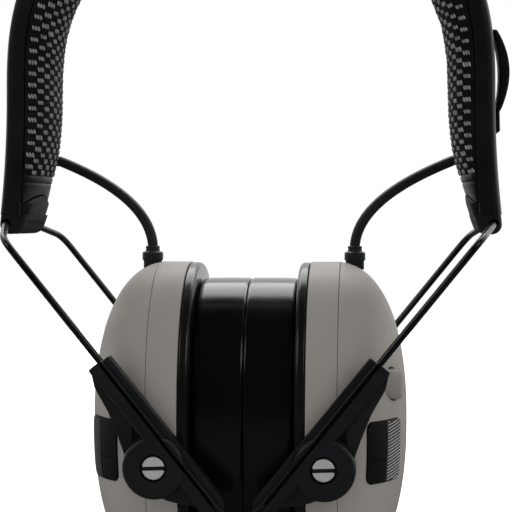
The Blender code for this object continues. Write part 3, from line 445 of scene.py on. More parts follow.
stripSteel = finish("stripSteel", (0.36, 0.36, 0.37), (0.46, 0.46, 0.47), 0.32, metal=1.0, depth=0.02)
boardGreen = finish("boardGreen", (0.018, 0.105, 0.048), (0.026, 0.135, 0.062), 0.42, grain=900.0, depth=0.05)
cellSleeve = finish("cellSleeve", (0.33, 0.325, 0.31), (0.38, 0.372, 0.355), 0.34, depth=0.015)
print("finishes made:", len(bpy.data.materials))


# headband curves, as the frame has them

band = {
    "halfWidth": 20.0, "bendZ": -60.0, "endZ": -108.6, "power": 2.7, "outerHalf": 85.2, "innerHalf": 69.3,
    "outerTop": 16.5, "innerTop": 0.0, "outerFlare": 0.00135, "innerFlare": 0.00385, "skin": 1.6,
    "wall": 7.2, "wallEnd": 8.0, "coverEndZ": -101.74, "stations": 190, "flatHalf": 8.0, "rollDeep": 3.8,
    "rollPower": 0.6, "rollEnd": 4.6, "rimStart": 1.2, "rimRound": 0.8,
}


def bandOuterX(z):
    return band["outerHalf"] + band["outerFlare"] * (z - band["bendZ"]) ** 2


def bandInnerX(z):
    return band["innerHalf"] + band["innerFlare"] * (z - band["bendZ"]) ** 2


def bandPairs(count=120):
    pairs = []
    bend = band["bendZ"]
    for i in range(count + 1):
        turn = math.pi / 2 * (1 - i / count)
        x = max(math.cos(turn), 0.0) ** (2 / band["power"])
        z = max(math.sin(turn), 0.0) ** (2 / band["power"])
        outer = (band["outerHalf"] * x, bend + (band["outerTop"] - bend) * z)
        inner = (band["innerHalf"] * x, bend + (band["innerTop"] - bend) * z)
        pairs.append((Vector(outer), Vector(inner)))
    for i in range(1, count + 1):
        z = bend + (band["endZ"] - bend) * i / count
        pairs.append((Vector((bandOuterX(z), z)), Vector((bandInnerX(z), z))))
    return pairs


pairs = bandPairs()
lengths = [0.0]
for one, two in zip(pairs, pairs[1:]):
    lengths.append(lengths[-1] + ((two[0] + two[1]) / 2 - (one[0] + one[1]) / 2).length)


def bandAt(length):
    reach = min(abs(length), lengths[-1])
    i = min(max(bisect.bisect_left(lengths, reach) - 1, 0), len(lengths) - 2)
    t = (reach - lengths[i]) / (lengths[i + 1] - lengths[i])
    outer = pairs[i][0].lerp(pairs[i + 1][0], t)
    inner = pairs[i][1].lerp(pairs[i + 1][1], t)
    side = -1.0 if length < 0 else 1.0
    inward = inner - outer
    thick = inward.length
    inward = inward / thick
    return Vector((side * outer.x, outer.y)), Vector((side * inward.x, inward.y)), thick


def bandLength(z):  # along the band from the crown to a height below the bend
    for i in range(len(pairs) - 1):
        top, low = pairs[i][0].y, pairs[i + 1][0].y
        if top <= band["bendZ"] + 1e-6 and low <= z:
            return lengths[i] + (lengths[i + 1] - lengths[i]) * (top - z) / (top - low)
    return lengths[-1]


def bandPoint(length, y, depth):
    outer, inward, _ = bandAt(length)
    spot = outer + inward * depth
    return spot.x, y, spot.y


coverEnd = bandLength(band["coverEndZ"])


def wallHeight(length):
    share = min(1.0, abs(length) / coverEnd)
    return band["wall"] + (band["wallEnd"] - band["wall"]) * share ** 6


def headbandCover():
    edge, skin, flat, power = band["halfWidth"], band["skin"], band["flatHalf"], band["rollPower"]
    inside = edge - skin
    turns = [math.pi / 2 * k / 12 for k in range(13)]
    roll = [(flat * k / 4, 0.0) for k in range(4)]
    roll += [(flat + (edge - flat) * math.sin(t) ** power, band["rollDeep"] * (1 - math.cos(t) ** power))
             for t in turns] + [(edge, band["rollEnd"])]
    rim, turns = band["rimRound"], [math.pi * k / 8 for k in range(9)]
    rows = []
    for i in range(band["stations"] + 1):
        length = coverEnd * (2 * i / band["stations"] - 1)
        wall = wallHeight(length)
        half = roll + [(edge, wall - band["rimStart"])]
        half += [(inside + skin / 2 + skin / 2 * math.cos(t), wall - rim + rim * math.sin(t)) for t in turns]
        half += [(inside, wall - 1.4), (inside, skin + 0.9), (inside - 0.3, skin + 0.25), (inside - 0.9, skin)]
        half += [(inside * (3 - k) / 4, skin) for k in range(3)]
        row = half + [(-y, w) for y, w in reversed(half[1:])]
        rows.append([bandPoint(length, y, w) for y, w in row])
    cover = solid("bandCover", rows, bandVinyl, 50)
    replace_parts(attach(cover, "headband"), "headband_cover")


headbandCover()
print("headband cover made")


# headband pad with its spotted mesh

pad = {
    "edge": 19.3, "floor": 5.2, "meshEndZ": -88.0, "tongueTopZ": -95.0, "archDrop": 2.8, "archHalf": 17.5,
    "stations": 200, "crown": 40, "crownPower": 2.3, "endThin": 1.4, "seamDip": 0.45, "foldZ": -90.6, "foldDip": 0.3,
    "slack": 0.5, "push": 20.0, "cap": 0.7, "seamReach": 3.0, "endStations": 44,
    "endGap": 0.6, "thinFrom": 0.9, "thinRate": 10, "seamWide": 0.5, "foldWide": 0.35, "sewnNear": 0.45,
    "sewnEdge": 0.03, "sewnEnd": 0.012,
}
spots = {
    "pitch": 4.07, "columnPitch": 7.3, "lobes": 3, "lobeStep": 1.0, "lobeSize": (0.5, 1.0, 0.24), "slant": 0.35,
    "unevenness": 0.12, "seed": 7, "lift": 0.05, "margin": 0.022, "seamGap": 1.0,
}


def padEnd(y):
    return bandLength(pad["tongueTopZ"] - pad["archDrop"] * (y / pad["archHalf"]) ** 2 + pad["endGap"])


padMiddle = padEnd(0.0)
padSeam = bandLength(pad["meshEndZ"])


def padLength(reach, y):  # the seam lies straight across, and the end follows the arched tongue
    if abs(reach) <= padSeam:
        return reach
    share = (abs(reach) - padSeam) / (padMiddle - padSeam)
    return math.copysign(padSeam + share * (padEnd(y) - padSeam), reach)


def padReaches():  # closer together near the seams and the ends
    found = {padMiddle * (2 * i / pad["stations"] - 1) for i in range(pad["stations"] + 1)}
    start, steps = padSeam - pad["seamReach"], pad["endStations"]
    for k in range(steps):
        reach = start + (padMiddle - start) * k / steps
        found |= {reach, -reach}
    return sorted(found)


reaches = padReaches()


def padDepth(length, y):
    wall = wallHeight(length) + gap
    thin = pad["endThin"] * max(0.0, abs(length) / padMiddle - pad["thinFrom"]) * pad["thinRate"]
    top = bandAt(length)[2] - pad["slack"] - thin
    share = min(abs(y) / pad["edge"], 1.0)
    z = bandPoint(length, 0, 0)[2]
    dip = 0.0
    if abs(length) > padSeam - pad["seamReach"]:
        dip = pad["seamDip"] * math.exp(-((z - pad["meshEndZ"]) / pad["seamWide"]) ** 2)
        dip += pad["foldDip"] * math.exp(-((z - pad["foldZ"]) / pad["foldWide"]) ** 2)
    return wall + (top - wall) * max(0.0, 1 - share ** pad["crownPower"]) ** 0.5 - dip


def headbandPad():
    inside = band["halfWidth"] - band["skin"] - gap
    turns = [math.pi * j / pad["crown"] for j in range(pad["crown"] + 1)]
    ys = [pad["edge"] * math.cos(t) for t in turns]
    middle = [(y, padDepth(0.0, y)) for y in ys]
    arcs = [0.0]
    for one, two in zip(middle, middle[1:]):
        arcs.append(arcs[-1] + math.dist(one, two))
    under = [(-inside, None), (-inside, pad["floor"]), (0.0, pad["floor"]), (inside, pad["floor"]), (inside, None)]
    across = [a / arcs[-1] for a in arcs] + [1.05 + 0.05 * k for k in range(len(under) + 1)]
    rows = []
    for reach in reaches:
        row = []
        for y in ys:
            length = padLength(reach, y)
            row.append(bandPoint(length, y, padDepth(length, y)))
        for y, depth in under:
            length = padLength(reach, y)
            row.append(bandPoint(length, y, wallHeight(length) + gap if depth is None else depth))
        rows.append(row)
    mesh = gridMesh("bandPad", rows, caps=True, across=across)
    piece = place("bandPad", mesh, meshCloth, 60)
    mesh.materials.append(bandVinyl)
    for face in mesh.polygons:
        face.material_index = 1 if face.center.z < pad["meshEndZ"] * mm else 0
    seams = (pad["meshEndZ"], pad["foldZ"])
    sewn = [any(abs(v.co.z / mm - z) < pad["sewnNear"] for z in seams) for v in mesh.vertices]
    for loop in mesh.loops:
        u, v = mesh.uv_layers["flow"].data[loop.index].uv
        sewn[loop.vertex_index] |= min(v, 1 - v) < pad["sewnEdge"] or min(u, 1 - u) < pad["sewnEnd"]
    return puff(piece, sewn, pad["push"], pad["cap"]), arcs[-1]


def spotTree():  # ovals of knitted lobes in staggered rows over the pad's own UVs
    tree, value, out, add, calc = newGroup("meshSpots", "GeometryNodeTree", {
        "Pad": "Geometry", "Rows": 100, "Columns": 7, "Low": 0.05, "High": 0.95, "Margin": 0.02, "Lobes": 3,
        "Lobe step": 0.0007, "Lobe size": "Vector", "Slant": 0.2, "Uneven": 0.1, "Lift": 0.0, "Seed": 1,
        "Finish": "Material"}, {"Spots": "Geometry"})
    margin, uneven, lobeStep = value["Margin"], value["Uneven"], value["Lobe step"]
    grid = add("MeshGrid", {
        "Size X": 1.0, "Size Y": 1.0, "Vertices X": value["Rows"], "Vertices Y": value["Columns"]})
    here = add("SeparateXYZ", {0: add("InputPosition")}).outputs
    along, sideways = calc("ADD", here["X"], 0.5), calc("ADD", here["Y"], 0.5)
    row = calc("ROUND", calc("MULTIPLY", along, calc("SUBTRACT", value["Rows"], 1.0)))
    column = calc("ROUND", calc("MULTIPLY", sideways, calc("SUBTRACT", value["Columns"], 1.0)))
    shifted = calc("ADD", calc("MULTIPLY", calc("MODULO", row, 2.0), 0.5), 0.25)
    share = calc("DIVIDE", calc("ADD", column, shifted), value["Columns"])
    room = calc("SUBTRACT", 1.0, calc("MULTIPLY", margin, 2.0))
    v = calc("ADD", calc("MULTIPLY", share, room), margin)
    span = calc("SUBTRACT", value["High"], value["Low"])
    u = calc("ADD", value["Low"], calc("MULTIPLY", along, span))
    flow = add("InputNamedAttribute", {"Name": "flow"}, data_type="FLOAT_VECTOR")

    def sample(field, du=0.0):
        spot = add("CombineXYZ", {"X": calc("ADD", u, du), "Y": v})
        return add("SampleUVSurface", {0: value["Pad"], 1: field, 2: flow, 3: spot}, data_type="FLOAT_VECTOR")

    where = add("InputPosition")
    middle, normal = sample(where), sample(add("InputNormal"))
    ahead = add("VectorMath", {0: sample(where, 0.002), 1: sample(where, -0.002)}, operation="SUBTRACT")
    raised = add("VectorMath", {0: normal, "Scale": value["Lift"]}, operation="SCALE")
    held = add("CaptureAttribute")  # kept from before the points leave the flat grid
    for kind, label in (("VECTOR", "Normal"), ("VECTOR", "Ahead"), ("BOOLEAN", "Found")):
        held.capture_items.new(kind, label)
    feed(tree, held, {"Geometry": grid, "Normal": normal, "Ahead": ahead, "Found": middle.outputs["Is Valid"]})
    moved = add("SetPosition", {"Geometry": held, "Position": middle, "Offset": raised})
    ball = add("MeshIcoSphere", {"Radius": 1.0, "Subdivisions": 1})
    lobe = add("Transform", {"Geometry": ball, "Scale": value["Lobe size"]})
    leaned = add("Transform", {"Geometry": lobe, "Rotation": add("CombineXYZ", {"Z": value["Slant"]})})
    half = calc("MULTIPLY", calc("SUBTRACT", value["Lobes"], 1.0), -0.5)
    line = add("MeshLine", {
        "Count": value["Lobes"], "Start Location": add("CombineXYZ", {"X": calc("MULTIPLY", half, lobeStep)}),
        "Offset": add("CombineXYZ", {"X": lobeStep})})
    oval = add("RealizeInstances", {0: add("InstanceOnPoints", {"Points": line, "Instance": leaned})})
    upright = add("AlignRotationToVector", {"Vector": held.outputs["Normal"]}, axis="Z")
    turned = add("AlignRotationToVector", {
        "Rotation": upright, "Vector": held.outputs["Ahead"]}, axis="Y", pivot_axis="Z")
    size = add("RandomValue", {
        2: calc("SUBTRACT", 1.0, uneven), 3: calc("ADD", 1.0, uneven), "Seed": value["Seed"]}, data_type="FLOAT")
    copies = add("InstanceOnPoints", {
        "Points": moved, "Selection": held.outputs["Found"], "Instance": oval, "Rotation": turned,
        "Scale": size.outputs[1]})
    smooth = add("SetShadeSmooth", {0: add("RealizeInstances", {0: copies})})
    return endTree(tree, out, smooth, value["Finish"])


def makePad():
    piece, arcWide = headbandPad()
    meshLong, padLong = 2 * (padSeam - spots["seamGap"]), 2 * padMiddle
    sheet = place("bandPadSpots", piece.data.copy(), None)
    share = [r / padLong + 0.5 for r in reaches]
    last = len(reaches) - 1
    for loop in sheet.data.loops:  # even spacing along the band for the rows of spots
        uv = sheet.data.uv_layers["flow"].data[loop.index].uv
        step = uv.x * last
        i = min(int(step + 1e-6), last - 1)
        uv.x = share[i] + (share[i + 1] - share[i]) * (step - i)
    rows = int(round(meshLong / spots["pitch"] * 2)) + 1
    runTree(sheet, spotTree(), {
        "Rows": rows, "Columns": int(round(arcWide / spots["columnPitch"])),
        "Low": 0.5 - meshLong / padLong / 2, "High": 0.5 + meshLong / padLong / 2, "Margin": spots["margin"],
        "Lobes": spots["lobes"], "Lobe step": spots["lobeStep"] * mm,
        "Lobe size": [s * mm for s in spots["lobeSize"]], "Slant": spots["slant"],
        "Uneven": spots["unevenness"], "Lift": spots["lift"] * mm, "Seed": spots["seed"], "Finish": meshSpot})
    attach(sheet, "headband")
    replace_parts(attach(piece, "headband"), "headband_pad")
    print("pad made, with", rows, "rows of spots and", len(sheet.data.polygons), "faces in them")


makePad()


# end blocks, strap loop

block = {
    "capTopZ": -101.8, "capHalfWidth": 19.6, "inset": 0.35, "innerInset": 1.6, "corner": 3.0,
    "innerSoft": 5.0, "capSoft": 3.4, "capDraw": 0.088, "outerRound": 4.0, "outerEdge": 3.0, "tuck": 1.0, "eye": 0.5,
    "eyeDeep": 4.0, "eyeReach": 26.0, "pinReach": 24.0, "tongueRoot": 2.0, "tongueTopZ": -95.0, "tongueArch": 2.8,
    "tongueHalfWidth": 17.5, "tongueRound": 0.7, "hingeX": 84.5, "hingeZ": -105.0,
    "faceShares": (0.03, 0.2, 0.41, 0.55, 0.68, 0.79, 0.88, 0.94, 0.98, 1.0),
}
strap = {"topZ": -37.5, "lowZ": -66.0, "tabZ": -73.0, "endThick": 1.5, "midThick": 3.4, "slit": 1.6,
         "halfWidth": 7.0, "round": 0.6, "bowPower": 0.8, "steps": 36}
wire = {"radius": 1.2, "bendRadius": 6.0, "sides": 20, "tipU": 24.6, "bendX": 78.7, "bendZ": -110.0}


def blockRows(outline, side, half, soft, drop):  # the inner side, drawn in along a quarter round
    top, fromInner = max(z for _, z in outline), block["innerInset"]
    rows = []
    for k in range(9):
        turn = math.pi / 2 * k / 8
        into, out = soft * (1 - math.cos(turn)), soft * (1 - math.sin(turn))
        row = [(y * (1 - into / half), top + (z - top) * (1 - drop * into)) for y, z in outline]
        rows.append([(side * (bandInnerX(z) + fromInner + out), y, z) for y, z in row])
    return rows


def blockFace(y, z):  # how far the outer face lies in: rounded like the cover across, and under the end
    flat, power, soft = band["flatHalf"], band["rollPower"], block["outerRound"]
    share = min(max((abs(y) - flat) / (band["halfWidth"] - flat), 0.0), 1.0) ** (1 / power)
    down = max(0.0, band["endZ"] + soft - z) / soft
    across = block["outerEdge"] * (1 - (1 - share ** 2) ** (power / 2))
    return block["inset"] + across + soft * (1 - math.sqrt(max(0.0, 1 - down ** 2)))


def endBlock(prefix, side):
    wide, low, top, corner = block["capHalfWidth"], band["endZ"], block["capTopZ"], block["corner"]
    cap = [(-wide, top), (wide, top)]
    cap += arc((wide - corner, low + corner), corner, 0, -90, 8)
    cap += arc((corner - wide, low + corner), corner, -90, -180, 8)
    rows = []
    for share in block["faceShares"]:
        ring = [(y * share, top + (z - top) * share + (block["tuck"] if z == top else 0.0)) for y, z in cap]
        rows.append([(side * (bandOuterX(z) - blockFace(y, z)), y, z) for y, z in ring])
    rows += blockRows(cap, side, wide, block["capSoft"], block["capDraw"])
    body = solid(f"{prefix}EndBlock", rows, blockBlack)
    half, root = block["tongueHalfWidth"], top - block["tongueRoot"]
    arch = [(-half, root), (half, root)]
    for i in range(25):
        y = half * (1 - i / 12)
        arch.append((y, block["tongueTopZ"] - block["tongueArch"] * (y / half) ** 2))
    rows = [[(side * (bandOuterX(z) - band["skin"] - gap), y, z) for y, z in arch]]
    tongue = solid("tongue", rows + blockRows(arch, side, half, block["innerSoft"], 0.0), blockBlack)
    soften(tongue, block["tongueRound"], 60)
    hinge, reach = (side * block["hingeX"], 0, block["hingeZ"]), block["pinReach"]
    carve(body, [tongue], "UNION")
    carve(body, [rod("pin", hinge, (0, 1, 0), -reach, reach, wire["radius"] + loose, 24)])
    for face in (-1, 1):
        eye = wire["radius"] + block["eye"]
        carve(body, [rod("eye", hinge, (0, face, 0), wide - block["eyeDeep"], block["eyeReach"], eye, 32)])
    sharpen(body, 38)
    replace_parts(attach(body, "headband"), f"{prefix}_end_block")


def bandSideX(z):
    if z <= band["bendZ"]:
        return bandOuterX(z)
    share = (z - band["bendZ"]) / (band["outerTop"] - band["bendZ"])
    return band["outerHalf"] * (1 - share ** band["power"]) ** (1 / band["power"])


def prism(name, outline, low, high, look):
    return solid(name, [[(p[0], y, p[1]) for p in outline] for y in (low, high)], look)


def strapLoop():
    outer, inner, steps = [], [], strap["steps"]
    for i in range(steps + 1):
        t = i / steps
        z = strap["topZ"] + (strap["lowZ"] - strap["topZ"]) * t
        bow = math.sin(math.pi * t) ** strap["bowPower"] if 0 < t < 1 else 0.0
        low = bandSideX(z) + gap + strap["slit"] * bow
        inner.append((low, z))
        outer.append((low + strap["endThick"] + (strap["midThick"] - strap["endThick"]) * bow, z))
    for k in range(1, 9):
        z = strap["lowZ"] + (strap["tabZ"] - strap["lowZ"]) * k / 8
        outer.append((bandSideX(z) + gap + strap["endThick"], z))
        inner.append((bandSideX(z) + gap, z))
    outline = outer + inner[::-1]
    loop = prism("strapLoop", outline, -strap["halfWidth"], strap["halfWidth"], bandVinyl)
    soften(loop, strap["round"], 60)
    sharpen(loop, 40)
    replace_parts(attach(loop, "headband"), "strap_loop")


for prefix, side in bothSides:
    endBlock(prefix, side)
strapLoop()
print("end blocks and strap loop made")


# cups

cup = {"z": -174.0, "halfHeight": 55.5, "halfWidth": 43.0, "power": 2.3, "wall": 2.4, "columns": 160}
baseShell = {"x": 21.4, "deep": 10.3, "round": 0.5, "flange": 1.8, "opening": 17.3, "lipHigh": 2.3, "lipInset": 3.9,
             "lipThick": 1.2, "seamRound": 0.15, "seamShut": 0.2, "face": 4.0}
dome = {"x": 32.0, "centreX": 29.2, "deep": 26.0, "rings": 40, "innerRings": 16, "seamRise": 0.2, "lastTurn": 89.2,
        "clear": 4.0, "doorDeep": 3.0}
plate = {"x": 17.6, "thick": 3.5, "margin": 0.25, "hole": (33.6, 21.6), "round": 1.6}
cushion = {"faceX": 0.03, "backX": 17.3, "outer": (50.0, 37.5), "hole": (33.0, 21.0), "sectionPoints": 64,
           "push": 24.0, "cap": 0.5, "heldFace": 0.12, "heldBack": 0.4, "pressed": 0.39}
liner = {"backX": 24.9, "faceX": 26.5, "half": (46.0, 33.5), "crown": 0.2,
         "shares": (0.02, 0.2, 0.4, 0.6, 0.8, 0.92, 0.98, 1.0)}
pivot = {"x": 27.9, "z": -185.0, "bossRadius": 3.55, "bossProud": 0.45, "bossRoot": 5.0}


def bent(value):
    return math.copysign(abs(value) ** (2 / cup["power"]), value)


def cupRing(x, halfHeight, halfWidth):
    ring = []
    for k in range(cup["columns"]):
        turn = 2 * math.pi * (k + 0.5) / cup["columns"]
        ring.append((x, halfWidth * bent(math.cos(turn)), cup["z"] + halfHeight * bent(math.sin(turn))))
    return ring


def insetRing(x, inset):
    return cupRing(x, cup["halfHeight"] - inset, cup["halfWidth"] - inset)


def betweenRing(x, share, outer, hole):
    return cupRing(x, outer[0] + (hole[0] - outer[0]) * share, outer[1] + (hole[1] - outer[1]) * share)


def makeBaseShell(prefix, side):
    s = baseShell
    top, floor = s["x"] + s["deep"] + s["seamShut"], s["x"] + s["flange"]
    section = [(s["x"], s["opening"]), (s["x"], s["round"] + s["face"])]
    section += arc((s["x"] + s["round"], s["round"]), s["round"], 180, 270, 8)
    section += [(s["x"] + s["round"] + (s["deep"] - s["round"]) * k / 6, 0.0) for k in range(1, 6)]
    section += arc((top - s["seamRound"], s["seamRound"]), s["seamRound"], 270, 360, 3)
    inner = s["lipInset"] + s["lipThick"]
    section += [(top, s["lipInset"]), (top + s["lipHigh"], s["lipInset"]), (top + s["lipHigh"], inner),
                (floor, inner), (floor, s["opening"])]
    rows = mirrored([insetRing(x, i) for x, i in section], side)
    shell = place(f"{prefix}BaseShell", gridMesh("baseShell", rows, wrapRows=True), shellGrey, 40)
    bosses = []
    for face in (-1, 1):
        wall = (side * pivot["x"], face * cup["halfWidth"], pivot["z"])
        bosses.append(rod("boss", wall, (0, face, 0), -pivot["bossRoot"], pivot["bossProud"], pivot["bossRadius"]))
    carve(shell, bosses, "UNION")
    sharpen(shell, 36)
    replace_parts(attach(shell, f"{prefix}_cup"), f"{prefix}_base_shell")


def domeRings(wall, count):
    deep = dome["deep"] - wall
    first = math.asin(((dome["x"] - dome["centreX"]) / deep) ** (cup["power"] / 2))
    rows = []
    for i in range(count + 1):
        turn = first + (math.radians(dome["lastTurn"]) - first) * i / count
        scale = bent(math.cos(turn))
        rows.append(cupRing(dome["centreX"] + deep * bent(math.sin(turn)),
                            (cup["halfHeight"] - wall) * scale, (cup["halfWidth"] - wall) * scale))
    return rows


def upShare(z, offset):
    return abs((z - cup["z"]) / (cup["halfHeight"] + offset)) ** cup["power"]


def domeX(y, z, offset):
    left = 1 - abs(y / (cup["halfWidth"] + offset)) ** cup["power"] - upShare(z, offset)
    return dome["centreX"] + (dome["deep"] + offset) * max(left, 0.0) ** (1 / cup["power"])


def domeFront(angle, z, offset):
    scale, turn = (1 - upShare(z, offset)) ** (1 / cup["power"]), math.radians(angle)
    x = dome["centreX"] + (dome["deep"] + offset) * scale * bent(math.sin(turn))
    return x, -(cup["halfWidth"] + offset) * scale * bent(math.cos(turn)), z


def doorFace(y, z, offset):
    return domeX(y, z, offset), y, z


panel = {"topZ": -170.8, "lowZ": -191.4, "from": 26.0, "split": 43.4, "to": 61.0, "proud": 0.6, "sunk": 1.1,
         "corner": 2.6, "round": 0.35, "degreesPerMm": 35.0 / 19.2, "lineZ": -183.6, "lineHalf": 0.2,
         "lineDeep": 0.35, "lineStart": 1.6, "lineStop": 0.5, "lineCorner": 0.1, "lineClear": 3.0}
door = {"lowZ": -173.0, "topZ": -138.0, "halfWidth": 22.0, "thick": 1.8, "corner": 4.0, "round": 0.3}
knob = {"y": -26.5, "z": -159.0, "radius": 5.2, "fromX": 46.0, "toX": 53.6, "ribs": 26, "ribHigh": 0.14,
        "hole": 0.6, "edge": 0.9}
jack = {"x": 40.4, "radius": 4.0}
gland = {"x": 36.6, "y": 6.0, "topZ": -113.0, "lowZ": -121.4, "radius": 3.3, "neck": 2.6, "collar": 3.75,
         "bore": 2.1, "round": 0.2}


def skinRows(start, end, low, high, corner, unit, ends, surface, inner, outer, steps=14, tall=18):
    reach = corner * unit
    turns = [math.pi / 2 * k / 6 for k in range(7)]
    bend = [(reach * (1 - math.cos(t)), corner * (1 - math.sin(t))) for t in turns]
    left, right = start + reach, end - reach
    stations = [(start + into, drop if ends[0] else 0.0) for into, drop in bend]
    stations += [(left + (right - left) * k / steps, 0.0) for k in range(1, steps)]
    stations += [(end - into, drop if ends[1] else 0.0) for into, drop in reversed(bend)]
    rows = []
    for spot, drop in stations:
        heights = [low + drop + (high - low - 2 * drop) * i / tall for i in range(tall + 1)]
        rows.append([surface(spot, z, outer) for z in heights] + [surface(spot, z, inner) for z in reversed(heights)])
    return rows


def panelRows(start, end, margin, ends, inner, outer):
    unit = panel["degreesPerMm"]
    return skinRows(start - margin * unit, end + margin * unit, panel["lowZ"] - margin, panel["topZ"] + margin,
                    panel["corner"], unit, ends, domeFront, inner, outer)


def doorRows(margin, inner, outer):
    wide = door["halfWidth"] + margin
    return skinRows(-wide, wide, door["lowZ"] - margin, door["topZ"] + margin, door["corner"], 1.0, (True, True),
                    doorFace, inner, outer, 18, 18)


def outerShell(prefix, side):
    outside, inside = domeRings(0.0, dome["rings"]), domeRings(cup["wall"], dome["innerRings"])

    def rimRing(rise, wide, tall):  # the seam with the base shell is softened
        return [(x + rise, y * wide, cup["z"] + (z - cup["z"]) * tall) for x, y, z in outside[0]]

    first = [(x + dome["seamRise"], y, z) for x, y, z in outside[0]]
    rim = [first, rimRing(0.06, 0.998, 0.9985), rimRing(0.0, 0.992, 0.994)]
    shell = solid(f"{prefix}OuterShell", mirrored(outside[:0:-1] + rim + inside, side), shellGrey)
    pocket = panelRows(panel["from"], panel["to"], gap, (True, True), -panel["sunk"] - gap, dome["clear"])
    tools = [solid("pocket", mirrored(pocket, side))]
    if side < 0:
        opening = doorRows(gap, -cup["wall"] - dome["doorDeep"], dome["clear"])
        tools.append(solid("opening", mirrored(opening, side)))
    lowest = cup["z"] - cup["halfHeight"]
    tools.append(rod("hole", (side * gland["x"], gland["y"], gland["topZ"]), (0, 0, -1), -2, 11,
                     gland["radius"] + gap))
    if side > 0:
        tools.append(rod("hole", (knob["fromX"], knob["y"], knob["z"]), (1, 0, 0), -6, 12,
                         knob["radius"] + knob["hole"], 64))
        tools.append(rod("hole", (jack["x"], 0, lowest), (0, 0, 1), -4, 14, jack["radius"] + gap))
    carve(shell, tools)
    sharpen(shell, 32)
    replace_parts(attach(shell, f"{prefix}_cup"), f"{prefix}_outer_shell")


def cushionPlate(prefix, side):
    s = plate
    outer = (cup["halfHeight"] - s["margin"], cup["halfWidth"] - s["margin"])
    back, r = s["x"] + s["thick"], s["round"]
    span = outer[0] - s["hole"][0]
    section = [(s["x"] + r + x, (r + i) / span) for x, i in arc((0, 0), r, 180, 270, 10)]
    section += [(back - 0.5 + x, (0.5 + i) / span) for x, i in arc((0, 0), 0.5, 270, 360, 4)]
    section += [(back, 0.5), (back, 1.0), (s["x"], 1.0), (s["x"], 0.4)]
    rows = mirrored([betweenRing(x, t, outer, s["hole"]) for x, t in section], side)
    ring = place(f"{prefix}CushionPlate", gridMesh("plate", rows, wrapRows=True), plateBlack, 40)
    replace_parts(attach(ring, f"{prefix}_cup"), f"{prefix}_cushion_plate")


def smoothLoop(points, count):  # a closed curve through the section's own points
    points = [Vector(p) for p in points]
    n = len(points)
    made = []
    for k in range(count):
        at = k * n / count
        i, t = int(at), at - int(at)
        a, b, c, d = (points[(i + j) % n] for j in (-1, 0, 1, 2))
        made.append(0.5 * (2 * b + (c - a) * t + (2 * a - 5 * b + 4 * c - d) * t * t
                           + (3 * b - a - 3 * c + d) * t ** 3))
    return made


def filledCushion():  # one cushion filled with cloth, for the right side
    s = cushion
    deep = s["backX"] - s["faceX"]
    section = [
        (1.0, 0.5), (1.0, 0.15), (0.975, 0.075), (0.91, 0.026), (0.6, 0.016), (0.3, 0.016), (0.075, 0.018),
        (0.022, 0.032), (0.004, 0.062), (0.0, 0.2), (0.0, 0.45), (0.01, 0.72), (0.05, 0.9), (0.16, 0.97), (0.4, 1.0),
        (0.78, 0.99), (1.0, 0.93),
    ]
    loop = smoothLoop(section, s["sectionPoints"])
    rows = [betweenRing(s["faceX"] + deep * min(max(d, 0.0), 1.0), t, s["outer"], s["hole"]) for d, t in loop]
    form = place("cushionForm", gridMesh("cushion", rows, wrapRows=True), cushionSkin, 60)
    low = (s["faceX"] + s["heldFace"]) * mm  # held by the other cushion here, and by the plate at the back
    high = (s["backX"] - s["heldBack"]) * mm
    puff(form, [not low < v.co.x < high for v in form.data.vertices], s["push"], s["cap"])
    for vertex in form.data.vertices:  # the two faces meet between the cups
        vertex.co.x = max(vertex.co.x, s["faceX"] * mm)
    return form


def earCushion(prefix, side, form):
    mesh = form.data.copy()
    if side < 0:
        mesh.transform(Matrix.Scale(-1, 4, (1, 0, 0)))
        mesh.flip_normals()
    ring = place(f"{prefix}EarCushion", mesh, cushionSkin, 60)
    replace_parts(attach(ring, f"{prefix}_cup"), f"{prefix}_ear_cushion")
    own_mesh(ring)


def foamLiner(prefix, side):
    tall, wide = liner["half"]
    rows = []
    for x, crown, shares in ((liner["backX"], -liner["crown"], liner["shares"]),
                             (liner["faceX"], liner["crown"], liner["shares"][::-1])):
        rows += [cupRing(x + crown * (1 - k ** 4), tall * k, wide * k) for k in shares]
    sheet = solid(f"{prefix}FoamLiner", mirrored(rows, side), liningFoam, 60)
    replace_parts(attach(sheet, f"{prefix}_cup"), f"{prefix}_foam_liner")


cushionForm = filledCushion()
for prefix, side in bothSides:
    makeBaseShell(prefix, side)
    outerShell(prefix, side)
    cushionPlate(prefix, side)
    earCushion(prefix, side, cushionForm)
    foamLiner(prefix, side)
bpy.data.objects.remove(cushionForm, do_unlink=True)
print("cups made")


# slide arms, wires and screws

arm = {
    "backY": 43.75, "step": 0.25, "topU": -38.4, "tailU": 27.5, "railLow": 3.1, "railHigh": 8.9, "railThick": 6.3,
    "webThick": 3.9, "flangeHigh": 11.3, "flangeThick": 5.0, "bossRadius": 10.5, "bossThick": 7.15, "bossRound": 1.6,
    "corner": 0.9, "round": 0.4, "wireOffset": 7.6, "wireY": 47.0, "slit": 1.2, "beadTopU": 21.2, "beadRadius": 1.8,
    "pocket": [(-15.0, 2.6), (-10.9, 2.6), (-10.9, -0.9)], "pocketFloor": 2.0,
}
screw = {"radius": 1.8, "headRadius": 3.75, "head": 1.6, "slot": 1.3, "slotDeep": 1.25, "reach": 11.8, "seatY": 49.3,
         "edge": 0.45, "turn": 0.05, "seed": 3}
legAlong = Vector((-0.62828651, -0.77798205))
legAcross = Vector((legAlong.y, -legAlong.x))


def legPoint(u, v):
    spot = Vector((pivot["x"], pivot["z"])) + legAlong * u + legAcross * v
    return spot.x, spot.y


def legPrism(name, outline, side, face, low, high, corner):
    path = roundedPath([Vector((*p, 0)) for p in outline], corner, 4, closed=True) if corner else outline
    spots = [legPoint(p[0], p[1]) for p in path]
    low, high = face * (arm["backY"] + low), face * (arm["backY"] + high)
    return prism(name, [(side * x, z) for x, z in spots], low, high, armBlack)


